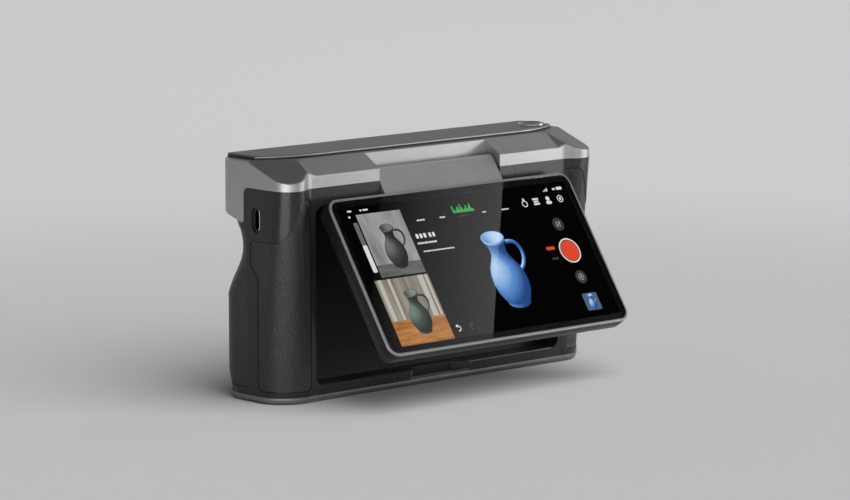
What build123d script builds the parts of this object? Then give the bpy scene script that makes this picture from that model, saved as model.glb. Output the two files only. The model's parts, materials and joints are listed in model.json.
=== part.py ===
from build123d import *
import math
import os

# Hand-held 3-D scanner: a two-handed body with a touch screen that folds out of its back.
# Lengths are millimetres. +X is right as the user sees the screen, -Y is the screen side,
# +Y is the scanning side and +Z is up. While the pieces are made, y is 0 at the back face of
# the body. At the end all move so that the origin is the mouth of the tripod socket.

# Screen
glass_width = 145.0
glass_height = 74.0
glass_thickness = 0.8
glass_corner = 4.5
glass_inset = 0.3
glass_gap = 0.05
rim_width = 1.25
rim_depth = 4.0
rim_edge = 0.5
screen_thickness = 9.7
screen_wall = 1.5
screen_back_round = 3.5
display_width = 139.0
display_height = 68.0
display_thickness = 2.2
driver_board_width = 90.0
driver_board_height = 40.0
driver_board_thickness = 1.2
driver_board_rise = 12.0
rest_tilt = 33.7

# Pocket that takes the closed screen
recess_side_gap = 0.65
recess_bottom_gap = 0.55
recess_top_gap = 1.95
recess_back_gap = 0.5
recess_corner = 3.8
recess_panel_thickness = 0.8
recess_panel_gap = 0.1
sill_height = 4.4
header_height = 8.3
finger_notch_width = 35.0
finger_notch_depth = 6.0

# Body
wall = 2.2
skin = 1.2
body_depth = 42.7
seam_y = 22.4
frame_strip = 4.6
flank_run = 5.1
flank_round = 7.5
column_bulge = 3.9
column_width = 11.1
column_round = 8.2
front_corner = 10.0
foot_frame_strip = 1.6
foot_flank_run = 2.5
foot_bulge = 0.2
foot_rear_corner = 15.0
foot_front_corner = 16.0
foot_rise = 12.0

# Cap and top plate
band_height = 5.5
chamfer_rise = 6.2
chamfer_run = 10.5
crease_run_in = 1.5
crease_run_out = 3.2
crease_round = 3.0
cap_round = 1.0
shoulder_run = 21.2
shoulder_pitch = 20.2
shoulder_roll = 11.5
wing_y = 24.1
wing_drop = 16.1
wing_slope = 16.8
wing_inner_round = 3.0
wing_outer_round = 1.5
wing_reach = 17.2
plate_thickness = 1.6
plate_side_margin = 5.2
plate_rear_margin = 0.5
plate_front_margin = 1.2
plate_sweep = 11.7
plate_sweep_slope = 0.35
plate_straight_margin = 1.1
plate_corner = 3.0
plate_edge = 0.6

# Finger scoops of the front grips
scoop_width = 27.2
grip_set_in = 1.3
scoop_web = 9.0
scoop_drop = 26.7
scoop_lower_length = 24.0
scoop_upper_length = 28.0
scoop_steps = 8

# Grip panels
rear_grip_foot = 2.5
rear_grip_side_drop = 23.0
rear_grip_back_drop = 4.4
rear_grip_depth_low = 15.3
rear_grip_depth_high = 20.2
rear_grip_step_drop = 10.7
rear_grip_step_height = 6.0
rear_grip_inset = 2.8
rear_grip_crest = 1.8
rear_grip_knee = 4.6
rear_grip_knee_height = 5.0
front_grip_foot = 3.3
front_grip_head = 1.5
front_grip_margin = 4.0
panel_round = 3.0
panel_bend = 1.0

# Base and tripod socket
base_height = 3.0
base_round = 2.2
socket_radius = 2.55
socket_depth = 8.0
insert_radius = 4.5
insert_flange = 6.5
insert_height = 9.5
insert_gap = 0.5

# Hinge
tab_width = 67.0
tab_thickness = 6.0
tab_setback = 2.7
tab_gap = 0.15
tongue_margin = 3.5
tongue_height = 20.0
tongue_thickness = 1.4
hinge_rise = 2.3
notch_side_gap = 3.4
notch_back_gap = 0.8
shaft_radius = 1.8
shaft_end = 1.5
shaft_gap = 0.05
collar_radius = 2.5
barrel_radius = 3.2
barrel_length = 9.0
barrel_set_off = 0.9
foot_length = 16.0
foot_width = 7.0
foot_thickness = 1.6
leg_width = 4.0
disc_radius = 3.0
disc_thickness = 1.5
nut_radius = 2.9
nut_thickness = 2.5
lead_radius = 0.6
lead_gap = 0.2
lead_bend = 2.5
lead_x = 10.0

# Front window and optics
window_side_margin = 6.0
window_top_margin = 6.7
window_corner = 5.0
window_thickness = 1.3
window_proud = 0.3
window_ledge = 5.0
window_gap = 0.15
far_camera_margin = 16.0
far_camera_radius = 8.0
near_camera_x = 24.0
near_camera_radius = 5.5
projector_drop = 7.5
projector_radius = 6.5
colour_rise = 9.5
colour_radius = 4.2
light_ring_width = 2.2
ring_margin = 0.9
barrel_gap = 0.2
barrel_proud = 0.3
cover_thickness = 0.8
cover_set_back = 0.6
barrel_lip = 1.0
bench_thickness = 3.0
bench_side_gap = 2.5
module_thickness = 4.0
module_border = 1.5
post_radius = 2.2
post_length = 6.5
post_margin = 12.0

# Electronics
board_thickness = 1.6
board_side_gap = 1.5
board_top_gap = 4.7
board_height = 48.0
board_corner = 2.0
standoff_height = 3.9
standoff_radius = 2.6
standoff_side_inset = 12.0
standoff_end_inset = 5.0
chip_thickness = 1.4
chip_gap = 4.0
processor_size = 24.0
memory_width = 12.0
memory_height = 14.0
socket_width = 4.0
socket_height = 6.0
socket_lip = 1.2
socket_inset = 1.0
spreader_thickness = 3.0
spreader_border = 4.0
fin_pitch = 4.0
fin_slot = 1.2
battery_half = 50.0
battery_thickness = 12.0
battery_height = 31.0
battery_front_gap = 1.0
battery_round = 2.0
port_drop = 13.8
port_height = 9.0
port_thickness = 3.2
port_shell = 0.3
port_length = 9.0
port_tongue = 0.7
port_recess_height = 11.1
port_recess_width = 6.0
port_recess_depth = 0.8
port_tongue_inset = 1.0
side_board_height = 22.0
side_standoff_inset = 1.0

# Buttons
button_side_margin = 12.7
button_front_margin = 16.2
button_radius = 7.0
button_gap = 0.3
button_rise = 1.0
button_dome = 0.8
button_flange = 1.2
button_flange_thickness = 1.2
button_travel = 0.8
stem_radius = 1.6
stem_gap = 0.1
switch_size = 6.2
switch_height = 4.0
switch_board = 1.2
switch_post_gap = 0.4
switch_overhang = 1.5
power_travel = 0.5
power_height = 9.0
power_width = 4.0
power_proud = 0.6
power_gap = 0.15
power_stem = 2.0
power_switch_back = 0.6
stop_gap = 0.1

# Screws
screw_head_radius = 2.0
screw_head_height = 1.1
screw_shank_radius = 1.0
screw_boss_radius = 3.0
base_screw_length = 9.0
short_screw_length = 5.0
head_sink = 0.4
boss_side_margin = 3.5
boss_low_rise = 13.0
boss_high_rise = 63.0
pad_margin = 2.0
rear_pad_y = 9.5
front_pad_margin = 6.0
screw_pad_height = 11.0
bracket_screw_reach = 4.0
tab_screw_margin = 6.0
tab_screw_rise = 4.0
thread_reach = 2.0

# Heights that follow from the sizes above
recess_bottom = base_height + sill_height
screen_bottom = recess_bottom + recess_bottom_gap
screen_height = glass_height + 2 * rim_width
screen_top = screen_bottom + screen_height
recess_top = screen_top + recess_top_gap
cap_seat = recess_top + header_height
hinge_z = cap_seat + hinge_rise
band_top = cap_seat + band_height
cap_top = band_top + chamfer_rise
plate_top = cap_top + plate_thickness
ceiling = cap_top - wall
scoop_middle = cap_seat - scoop_drop
scoop_low = scoop_middle - scoop_lower_length
scoop_high = scoop_middle + scoop_upper_length
rear_grip_bottom = base_height + rear_grip_foot
rear_grip_side_top = cap_seat - rear_grip_side_drop
rear_grip_back_top = cap_seat - rear_grip_back_drop
rear_grip_step_high = rear_grip_side_top - rear_grip_step_drop
rear_grip_step_low = rear_grip_step_high - rear_grip_step_height
front_grip_bottom = base_height + front_grip_foot
ring_inner = colour_radius + barrel_gap
ring_outer = ring_inner + light_ring_width
window_height = 2 * (colour_rise + ring_outer + ring_margin + window_ledge)
window_top = cap_seat - window_top_margin
window_bottom = window_top - window_height
optics_z = (window_bottom + window_top) / 2
projector_z = optics_z - projector_drop
colour_z = optics_z + colour_rise
board_top = cap_seat - board_top_gap
board_bottom = board_top - board_height
board_middle = (board_bottom + board_top) / 2
port_z = cap_seat - port_drop
boss_low_z = base_height + boss_low_rise
boss_high_z = base_height + boss_high_rise

# Depths, from the back face
screen_back_y = glass_inset + screen_thickness
recess_panel_y = screen_back_y + recess_back_gap
pocket_floor = recess_panel_y + recess_panel_thickness
inner_back = pocket_floor + wall
front_inner = body_depth - wall
hinge_y = glass_inset + tab_setback + tab_thickness / 2
notch_back = hinge_y + tab_thickness / 2 + notch_back_gap
grip_y = body_depth - grip_set_in
scoop_depth = grip_y - seam_y - scoop_web
window_y = body_depth + window_proud - window_thickness
barrel_front = body_depth + window_proud + barrel_proud
socket_y = inner_back + insert_flange + insert_gap
board_y = inner_back + standoff_height
board_front = board_y + board_thickness
port_y = board_y - port_thickness / 2
bench_front = front_inner - post_length
bench_y = bench_front - bench_thickness
plate_rear = chamfer_run + plate_rear_margin
plate_ear_y = plate_rear + plate_sweep
plate_front = body_depth - plate_front_margin
button_y = body_depth - button_front_margin

# Widths, from the middle
screen_half = glass_width / 2 + rim_width
recess_half = screen_half + recess_side_gap
flank_x = recess_half + frame_strip
column_x = flank_x + flank_run
half_width = column_x + column_width
foot_flank_x = recess_half + foot_frame_strip
foot_column_x = foot_flank_x + foot_flank_run
tongue_width = tab_width - 2 * tongue_margin
notch_half = tab_width / 2 + notch_side_gap
wing_x = half_width - wing_reach
inner_half = half_width - wall - skin
scoop_x = half_width - scoop_width
front_grip_x = scoop_x + front_grip_margin
plate_half = half_width - plate_side_margin
plate_straight = notch_half + plate_straight_margin
button_x = half_width - button_side_margin
window_half = scoop_x - window_side_margin
far_camera_x = window_half - far_camera_margin
post_x = window_half - post_margin
boss_x = scoop_x - boss_side_margin
bench_half = boss_x - screw_boss_radius - bench_side_gap
board_half = boss_x - screw_boss_radius - board_side_gap
bracket_x0 = notch_half + wall + barrel_set_off
barrel_x1 = bracket_x0 + barrel_length
disc_x1 = barrel_x1 + disc_thickness
shaft_half = disc_x1 + nut_thickness + shaft_end

# Longer than any piece, for cuts that run right through
far = 400.0


def block(x0, x1, y0, y1, z0, z1):
    """Box between two corners."""
    centre = Pos((x0 + x1) / 2, (y0 + y1) / 2, (z0 + z1) / 2)
    return centre * Box(x1 - x0, y1 - y0, z1 - z0)


def polygon(points, radius):
    """Closed outline with rounded corners."""
    return make_face(FilletPolyline(*points, radius=radius, close=True).edges())


def along_x(sketch, x0, x1):
    """Prism of a (y, z) sketch."""
    return extrude(Plane((x0, 0, 0), x_dir=(0, 1, 0), z_dir=(1, 0, 0)) * sketch, x1 - x0)


def along_y(sketch, y0, y1):
    """Prism of an (x, z) sketch."""
    return extrude(Plane((0, y1, 0), x_dir=(1, 0, 0), z_dir=(0, -1, 0)) * sketch, y1 - y0)


def along_z(sketch, z0, z1):
    """Prism of an (x, y) sketch."""
    return extrude(Plane.XY.offset(z0) * sketch, z1 - z0)


def rod_x(x0, x1, y, z, radius):
    return along_x(Pos(y, z) * Circle(radius), x0, x1)


def rod_y(x, y0, y1, z, radius):
    return along_y(Pos(x, z) * Circle(radius), y0, y1)


def rod_z(x, y, z0, z1, radius):
    return along_z(Pos(x, y) * Circle(radius), z0, z1)


def upright_slot(y, z, height, width):
    """Round-ended (y, z) outline that stands on end."""
    return Pos(y, z) * Rot(0, 0, 90) * SlotOverall(height, width)


def mirrored(shape):
    return mirror(shape, about=Plane.YZ)


def both(shape):
    return shape + mirrored(shape)


# Screws: each group is a list of (seat under the head, direction, length) on the right-hand side
def screw_hole(seat, toward, length):
    shank = Pos(0, 0, length / 2) * Cylinder(screw_shank_radius, length)
    head = Pos(0, 0, -screw_head_height / 2) * Cylinder(screw_head_radius, screw_head_height)
    return Plane(seat, z_dir=toward) * (shank + head)


def screw(seat, toward, length):
    """Socket-head screw."""
    key = extrude(RegularPolygon(screw_head_radius / 2, 6), screw_head_height / 2)
    return screw_hole(seat, toward, length) - Plane(seat, z_dir=toward) * Pos(0, 0, -screw_head_height) * key


def group(make, places):
    shape = make(*places[0])
    for place in places[1:]:
        shape += make(*place)
    return both(shape)


up, down, forward, backward = (0, 0, 1), (0, 0, -1), (0, 1, 0), (0, -1, 0)
base_screw_seat = screw_head_height + head_sink
rear_pad_x = (column_x + half_width) / 2 - pad_margin
front_pad_x = (scoop_x + half_width) / 2
front_pad_y = grip_y - wall - skin - front_pad_margin
base_screw_places = [
    ((rear_pad_x, rear_pad_y, base_screw_seat), up, base_screw_length),
    ((front_pad_x, front_pad_y, base_screw_seat), up, base_screw_length),
]
housing_seat = pocket_floor + screw_head_height
housing_screw_places = [
    ((boss_x, housing_seat, boss_low_z), forward, short_screw_length),
    ((boss_x, housing_seat, boss_high_z), forward, short_screw_length),
]
standoff_x = board_half - standoff_side_inset
side_standoff_x = flank_x - side_standoff_inset
side_screw_rise = side_board_height / 2 - standoff_radius
board_standoffs = [
    (standoff_x, board_bottom + standoff_end_inset),
    (standoff_x, board_top - standoff_end_inset),
]
side_standoffs = [
    (side_standoff_x, port_z - side_screw_rise),
    (side_standoff_x, port_z + side_screw_rise),
]
board_screw_length = board_thickness + standoff_height - thread_reach / 2
board_screw_places = [((x, board_front, z), backward, board_screw_length) for x, z in board_standoffs]
side_screw_places = [((x, board_front, z), backward, board_screw_length) for x, z in side_standoffs]
foot_z = recess_top + wall
bracket_screw_places = [
    ((barrel_x1 + bracket_screw_reach, hinge_y, foot_z + foot_thickness), down, foot_thickness + wall / 2),
]
bench_posts = [
    (post_x, window_bottom + window_ledge / 2),
    (post_x, window_top - window_ledge / 2),
]
optics_screw_places = [((x, bench_y, z), forward, bench_thickness + thread_reach) for x, z in bench_posts]


def end_plan(inset, flank, crest, bulge, rear_corner, corner):
    """Plan of the body: flat back, a column that bulges backwards at each end, rounded front."""
    lean = inset * math.tan(math.atan2(bulge, crest - flank) / 2)
    side = [
        (flank + lean, inset),
        (crest + lean, inset - bulge),
        (half_width - inset, inset - bulge),
        (half_width - inset, body_depth - inset),
    ]
    radii = [flank_round + inset, flank_round - inset, rear_corner - inset, corner - inset]
    points = side + [(-x, y) for x, y in reversed(side)]
    return polygon(points, radii + radii[::-1])


def body_plan(inset):
    """Plan under the cap, where the columns bulge most."""
    return end_plan(inset, flank_x, column_x, column_bulge, column_round, front_corner)


def foot_plan(inset, corner):
    """Plan on the base, where the columns run out into wide round corners."""
    return end_plan(inset, foot_flank_x, foot_column_x, foot_bulge, foot_rear_corner, corner)


def body_form(inset):
    """Body between the base and the cap: its columns lean in towards the base."""
    foot = Plane.XY.offset(base_height) * foot_plan(inset, front_corner)
    head = Plane.XY.offset(cap_seat) * body_plan(inset)
    return loft([foot, head], ruled=True)


def inner_plan():
    """Plan of the space inside the housings and the cap."""
    points = [
        (-inner_half, wall),
        (inner_half, wall),
        (inner_half, front_inner),
        (-inner_half, front_inner),
    ]
    return polygon(points, [wall, wall, front_corner - wall, front_corner - wall])


def wing_underside(y):
    """Height of the slanted underside of the cap's wings."""
    return cap_seat - wing_drop + math.tan(math.radians(wing_slope)) * (y - wing_y)


def above_wing_line(rise):
    """Everything over the slanted line of the wings, raised by rise."""
    points = [
        (-far, wing_underside(-far) + rise),
        (far, wing_underside(far) + rise),
        (far, far),
        (-far, far),
    ]
    return along_x(make_face(Polyline(*points, close=True)), -far, far)


def cap_ends():
    """Space of the cap at both ends, where it reaches down in front of the rear housing."""
    points = [
        (-far, cap_seat),
        (wing_y, cap_seat),
        (wing_y, wing_underside(wing_y)),
        (far, wing_underside(far)),
        (far, far),
        (-far, far),
    ]
    side = polygon(points, [0, wing_inner_round, wing_outer_round, 0, 0, 0])
    return both(along_x(side, wing_x, far))


def grip_front(z):
    """Front of the grips: straight below, with a finger scoop above."""
    if z <= scoop_low:
        return grip_y
    if z <= scoop_middle:
        share = (1 - math.cos(math.pi * (z - scoop_low) / (scoop_middle - scoop_low))) / 2
    else:
        share = (1 + math.cos(math.pi * (z - scoop_middle) / (scoop_high - scoop_middle))) / 2
    return grip_y - scoop_depth * share


def grip_corner(z):
    """Front corner of the grips, wider towards the base."""
    share = max(0, 1 - (z - base_height) / foot_rise)
    return front_corner + (foot_front_corner - front_corner) * share**2


def grip_section(z, inset, inner_x):
    front = grip_front(z) - inset
    side = half_width - inset
    rear = seam_y - wall
    points = [(inner_x, rear), (side, rear), (side, front), (inner_x, front)]
    return polygon(points, [0, 0, grip_corner(z) - inset, 0])


def grip_form(inset, inner_x):
    """Right front grip, solid, from the base to over the wing line."""
    top = wing_underside(body_depth) + wall
    step = (top - scoop_low) / scoop_steps
    levels = [scoop_low + step * i for i in range(scoop_steps + 1)]
    sections = [Plane.XY.offset(z) * grip_section(z, inset, inner_x) for z in levels]
    foot_top = base_height + foot_rise
    foot_levels = [base_height, base_height + foot_rise / 2, foot_top]
    feet = [Plane.XY.offset(z) * grip_section(z, inset, inner_x) for z in foot_levels]
    straight = along_z(grip_section(scoop_low, inset, inner_x), foot_top, scoop_low)
    return loft(feet) + straight + loft(sections)


# Rear grip panel: textured skin round the right column, higher towards the screen
def rear_grip():
    shell = body_form(0) - body_form(skin)
    inner_edge = recess_half + rear_grip_inset
    back_points = [
        (inner_edge, rear_grip_bottom),
        (inner_edge, rear_grip_back_top),
        (column_x + rear_grip_crest, rear_grip_back_top),
        (half_width - rear_grip_knee, rear_grip_side_top + rear_grip_knee_height),
        (half_width - panel_bend, rear_grip_side_top),
        (half_width + wall, rear_grip_side_top),
        (half_width + wall, rear_grip_bottom),
    ]
    back_rounds = [panel_round, panel_round, panel_round, panel_round, panel_bend, 0, 0]
    corner_y = skin + wall
    side_points = [
        (-far, rear_grip_bottom),
        (rear_grip_depth_low, rear_grip_bottom),
        (rear_grip_depth_low, rear_grip_step_low),
        (rear_grip_depth_high, rear_grip_step_high),
        (rear_grip_depth_high, rear_grip_side_top),
        (corner_y, rear_grip_side_top),
        (corner_y, far),
        (-far, far),
    ]
    side_rounds = [0, panel_round, panel_round, panel_round, panel_round, 0, 0, 0]
    back = along_y(polygon(back_points, back_rounds), -far, far)
    side = along_x(polygon(side_points, side_rounds), recess_half, half_width + wall)
    return shell & back & side


# Front grip panel: textured skin on the front and side of the right grip
def front_grip():
    shell = grip_form(0, scoop_x - wall) - grip_form(skin, scoop_x - 2 * wall)
    front_grip_top = wing_underside(seam_y) - front_grip_head
    return shell & block(front_grip_x, far, seam_y, far, front_grip_bottom, front_grip_top)


right_rear_grip = rear_grip()
right_front_grip = front_grip()


# Rear housing: columns, pocket for the screen, sockets for the boards
def column_room():
    """Hollow of the right column, parallel to its outside."""
    room_x = recess_half + wall + skin
    return body_form(wall + skin) & block(room_x, far, -far, inner_back + wall, 0, far)


def finger_notch():
    """Notch under the screen's lower edge, with slanted sides."""
    outer = finger_notch_width / 2
    inner = outer - finger_notch_depth
    points = [
        (-outer, 0),
        (-inner, finger_notch_depth),
        (inner, finger_notch_depth),
        (outer, 0),
        (outer, -wall),
        (-outer, -wall),
    ]
    return along_z(make_face(Polyline(*points, close=True)), 0, recess_bottom + recess_corner)


def rear_housing():
    shape = body_form(0) & block(-far, far, -far, seam_y, 0, far)
    shape -= along_z(inner_plan(), 0, far) & block(-far, far, inner_back, far, 0, far)
    shape -= both(column_room())
    pocket = RectangleRounded(2 * recess_half, recess_top - recess_bottom, recess_corner)
    shape -= along_y(Pos(0, (recess_bottom + recess_top) / 2) * pocket, -far, pocket_floor)
    shape -= block(-notch_half, notch_half, -far, notch_back, recess_top - recess_corner, far)
    header_room = block(notch_half + wall, recess_half - wall, wall, inner_back + wall, foot_z, far)
    shape -= both(header_room) + finger_notch()
    pad = block(column_x - wall, half_width - wall, rear_pad_y - screw_boss_radius,
                rear_pad_y + screw_boss_radius, base_height, base_height + screw_pad_height)
    shape += both(pad & body_form(skin))
    for x, z in board_standoffs + side_standoffs:
        shape += both(rod_y(x, inner_back, board_y, z, standoff_radius))
    shape -= along_x(upright_slot(port_y, port_z, port_height, port_thickness), -far, wall - inner_half)
    port_recess = upright_slot(port_y, port_z, port_recess_height, port_recess_width)
    shape -= along_x(port_recess, -far, port_recess_depth - half_width)
    power_hole = upright_slot(port_y, port_z, power_height + 2 * power_gap, power_width + 2 * power_gap)
    shape -= along_x(power_hole, inner_half - wall, far)
    shape -= both(right_rear_grip) + cap_ends()
    for places in (base_screw_places, housing_screw_places, board_screw_places, side_screw_places,
                   bracket_screw_places):
        shape -= group(screw_hole, places)
    return shape


# Front housing: middle block with the window, a grip with a finger scoop at each end
def front_housing():
    shape = body_form(0) & block(-far, far, seam_y, far, 0, far)
    under_wing = block(scoop_x, far, 0, far, 0, far) - above_wing_line(0)
    shape -= both(under_wing - grip_form(0, scoop_x - wall))
    shape -= cap_ends()
    shape -= both(grip_form(wall + skin, scoop_x - 2 * wall) - above_wing_line(0))
    shape -= block(wall - scoop_x, scoop_x - wall, 0, front_inner, 0, far)
    shape -= along_z(inner_plan(), 0, far) & above_wing_line(wall)
    into_wall = front_inner + wall / 2
    shape += both(
        rod_y(boss_x, inner_back, into_wall, boss_low_z, screw_boss_radius)
        + rod_y(boss_x, inner_back, into_wall, boss_high_z, screw_boss_radius)
    )
    for x, z in bench_posts:
        shape += both(rod_y(x, bench_front, into_wall, z, post_radius))
    shape += both(
        block(scoop_x + wall, half_width - wall, front_pad_y - screw_boss_radius,
              front_pad_y + screw_boss_radius, base_height, base_height + screw_pad_height)
    )
    seat = RectangleRounded(2 * window_half, window_height, window_corner)
    shape -= along_y(Pos(0, optics_z) * seat, window_y, far)
    opening = RectangleRounded(
        2 * (window_half - window_ledge), window_height - 2 * window_ledge, window_corner / 2
    )
    shape -= along_y(Pos(0, optics_z) * opening, front_inner - wall, far)
    shape -= both(right_front_grip)
    for places in (base_screw_places, housing_screw_places, optics_screw_places):
        shape -= group(screw_hole, places)
    return shape


# Cap: silver lid with a sloped back, a notch for the hinge and a wing down each front corner
chamfer_slope = chamfer_rise / chamfer_run
shoulder_tilt = math.tan(math.radians(shoulder_pitch))
shoulder_lean = math.tan(math.radians(shoulder_roll))
crease_x = half_width - shoulder_tilt * (shoulder_run - chamfer_run) / shoulder_lean


def over(point, normal):
    """Space on the outer side of a plane."""
    return Plane(point, z_dir=normal) * Pos(0, 0, far / 2) * Box(2 * far, 2 * far, far)


def chamfer_void(drop):
    """Space over the sloped back of the cap, lowered by drop."""
    return over((0, 0, band_top - drop), (0, -chamfer_slope, 1))


def shoulder_void(drop):
    """Space over the sloped right shoulder of the cap, lowered by drop."""
    return over((half_width, shoulder_run, cap_top - drop), (shoulder_lean, -shoulder_tilt, 1))


def crease_void():
    """Space over the small slope that joins the back to the right shoulder."""
    inner = crease_x - crease_run_in
    outer = crease_x + crease_run_out
    outer_z = cap_top - shoulder_tilt * shoulder_run + shoulder_lean * (half_width - outer)
    rise = (outer_z - band_top) / (outer - inner)
    run = (chamfer_rise - rise * crease_run_in) / chamfer_run
    return over((inner, 0, band_top), (-rise, -run, 1))


def cap_slopes():
    """Space over the sloped back and the two shoulders."""
    shoulder = shoulder_void(0) + crease_void()
    back = chamfer_void(0) & block(-crease_x, crease_x, -far, far, 0, 2 * far)
    ends = block(-far, far, -far, far, 0, 2 * far) - block(-crease_x, crease_x, -far, far, 0, 2 * far)
    return (back + ends) & shoulder & mirrored(shoulder)


scan_hole = rod_z(button_x, button_y, ceiling - wall, far, button_radius + button_gap)
button_stop = button_radius + button_gap + button_flange
switch_top = ceiling - stop_gap - button_flange_thickness - button_travel - stem_gap
switch_floor = switch_top - switch_height
switch_arm = button_stop + switch_post_gap + standoff_radius


def upward_faces(shape):
    return [face for face in shape.faces() if face.normal_at().Z > 0.5]


def shared_edges(faces, others):
    """Edges where a face of one list meets a face of another."""
    return [edge for face in faces for edge in face.edges() if any(edge in other.edges() for other in others)]


def cap_form():
    """Outside of the cap, with its creases and its upper rim rounded."""
    middle = block(-wing_x, wing_x, -far, far, cap_seat, far)
    shape = along_z(body_plan(0), base_height, cap_top) & (cap_ends() + middle)
    shape -= cap_slopes()
    slopes = [face for face in upward_faces(shape) if face.normal_at().Z < 0.99]
    creases = [edge for i, face in enumerate(slopes) for edge in shared_edges([face], slopes[i + 1:])]
    shape = fillet(creases, crease_round)
    walls = [face for face in shape.faces() if abs(face.normal_at().Z) < 0.01]
    return fillet(shared_edges(upward_faces(shape), walls), cap_round)


def top_cap():
    shape = cap_form()
    room = along_z(inner_plan(), base_height, ceiling) & above_wing_line(wall)
    room -= chamfer_void(wall * math.hypot(1, chamfer_slope))
    room -= both(shoulder_void(wall * math.hypot(1, shoulder_tilt, shoulder_lean)))
    liner = block(-notch_half - wall, notch_half + wall, -far, notch_back + wall, 0, far)
    shape -= room - liner
    shape -= block(-notch_half, notch_half, -far, notch_back, 0, far)
    shape -= both(rod_x(notch_half - wall, notch_half + 2 * wall, hinge_y, hinge_z, shaft_radius + shaft_gap))
    for y in (button_y - switch_arm, button_y + switch_arm):
        shape += rod_z(button_x, y, switch_floor, ceiling + wall / 2, standoff_radius) & along_z(inner_plan(), 0, far)
    return shape - scan_hole


# Grey inlay on top of the cap. Its rear edge sweeps forward towards the ends.
def top_plate():
    start = (plate_straight, plate_rear)
    ear = (plate_half, plate_ear_y)
    sweep_right = Spline(start, ear, tangents=[(1, 0), (1, plate_sweep_slope)])
    rear = Line((0, plate_rear), start)
    rest = Polyline(ear, (plate_half, plate_front), (0, plate_front), (0, plate_rear))
    half = make_face([*rear.edges(), *sweep_right.edges(), *rest.edges()])
    outline = half + mirror(half, about=Plane.YZ)
    corners = [v for v in outline.vertices() if abs(v.X) > plate_half - plate_corner]
    plate = along_z(fillet(corners, plate_corner), cap_top, plate_top)
    plate = fillet(plate.faces().sort_by(Axis.Z)[-1].edges(), plate_edge)
    return plate - scan_hole


def base_plate():
    shape = along_z(foot_plan(0, foot_front_corner), 0, base_height)
    shape = fillet(shape.faces().sort_by(Axis.Z)[0].edges(), base_round)
    shape -= rod_z(0, socket_y, -wall, base_height + wall, insert_radius)
    for (x, y, z), _, _ in base_screw_places:
        shape -= both(rod_z(x, y, -wall, z, screw_head_radius))
    return shape - group(screw_hole, base_screw_places)


def tripod_insert():
    shape = rod_z(0, socket_y, 0, base_height, insert_radius)
    shape += rod_z(0, socket_y, base_height, insert_height, insert_flange)
    return shape - rod_z(0, socket_y, -wall, socket_depth, socket_radius)


def recess_panel():
    gap = recess_panel_gap
    size = RectangleRounded(
        2 * (recess_half - gap), recess_top - recess_bottom - 2 * gap, recess_corner - gap
    )
    return along_y(Pos(0, (recess_bottom + recess_top) / 2) * size, recess_panel_y, pocket_floor)


# Optics: lens modules on a bench behind the front window
lens_places = {
    "far_camera_left": (-far_camera_x, optics_z, far_camera_radius),
    "far_camera_right": (far_camera_x, optics_z, far_camera_radius),
    "near_camera_left": (-near_camera_x, optics_z, near_camera_radius),
    "near_camera_right": (near_camera_x, optics_z, near_camera_radius),
    "projector": (0, projector_z, projector_radius),
    "colour_camera": (0, colour_z, colour_radius),
}
module_front = bench_front + module_thickness
cover_y = barrel_front - cover_set_back - cover_thickness


def lens_module(x, z, radius):
    side = 2 * (radius - module_border)
    shape = along_y(Pos(x, z) * Rectangle(side, side), bench_front, module_front)
    shape += rod_y(x, module_front, barrel_front, z, radius)
    return shape - rod_y(x, cover_y, far, z, radius - barrel_lip)


def lens_covers():
    discs = [
        rod_y(x, cover_y, cover_y + cover_thickness, z, radius - barrel_lip)
        for x, z, radius in lens_places.values()
    ]
    return Compound(children=[disc.solid() for disc in discs])


def front_window():
    size = RectangleRounded(
        2 * (window_half - window_gap), window_height - 2 * window_gap, window_corner - window_gap
    )
    shape = along_y(Pos(0, optics_z) * size, window_y, body_depth + window_proud)
    for x, z, radius in lens_places.values():
        shape -= rod_y(x, 0, far, z, radius + barrel_gap)
    return shape - rod_y(0, 0, far, colour_z, ring_outer + barrel_gap)


def light_ring():
    """Ring of lamps round the colour camera, on the same bench."""
    shape = rod_y(0, bench_front, barrel_front, colour_z, ring_outer)
    shape -= rod_y(0, module_front, far, colour_z, ring_inner)
    room = 2 * (colour_radius - module_border + barrel_gap)
    return shape - along_y(Pos(0, colour_z) * Rectangle(room, room), 0, module_front)


def optics_bench():
    plate = Pos(0, optics_z) * RectangleRounded(2 * bench_half, window_height, window_corner)
    return along_y(plate, bench_y, bench_front) - group(screw_hole, optics_screw_places)


# Electronics
def main_board():
    plate = Pos(0, board_middle) * RectangleRounded(2 * board_half, board_height, board_corner)
    return along_y(plate, board_y, board_front) - group(screw_hole, board_screw_places)


connector_x = shaft_half + lead_bend + socket_inset
connector_y = (inner_back + board_y) / 2
connector_top = board_top - socket_inset
chip_front = board_front + chip_thickness


def board_chips():
    low = board_middle - processor_size / 2
    memory_low = board_middle + processor_size / 2 - memory_height
    storage_right = chip_gap / 2 + 2 * memory_width + chip_gap
    chips = [
        block(-chip_gap / 2 - processor_size, -chip_gap / 2, board_front, chip_front, low, low + processor_size),
        block(chip_gap / 2, storage_right, board_front, chip_front, low, memory_low - chip_gap),
        block(-connector_x - socket_width / 2, socket_width / 2 - connector_x, connector_y - socket_lip, board_y,
              connector_top - socket_height, connector_top),
    ]
    for i in range(2):
        left = chip_gap / 2 + i * (memory_width + chip_gap)
        chips.append(
            block(left, left + memory_width, board_front, chip_front, memory_low, memory_low + memory_height)
        )
    return Compound(children=[chip.solid() for chip in chips])


def heat_spreader():
    """Finned plate on the chips."""
    left = -chip_gap / 2 - processor_size - spreader_border
    right = chip_gap / 2 + 2 * memory_width + chip_gap + spreader_border
    half = processor_size / 2 + spreader_border
    back = chip_front + spreader_thickness
    shape = block(left, right, chip_front, back, board_middle - half, board_middle + half)
    slots = int((right - left) / fin_pitch) - 1
    for i in range(slots):
        x = left + (i + 1) * fin_pitch
        shape -= block(x, x + fin_slot, chip_front + spreader_thickness / 3, far, 0, far)
    return shape


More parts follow.
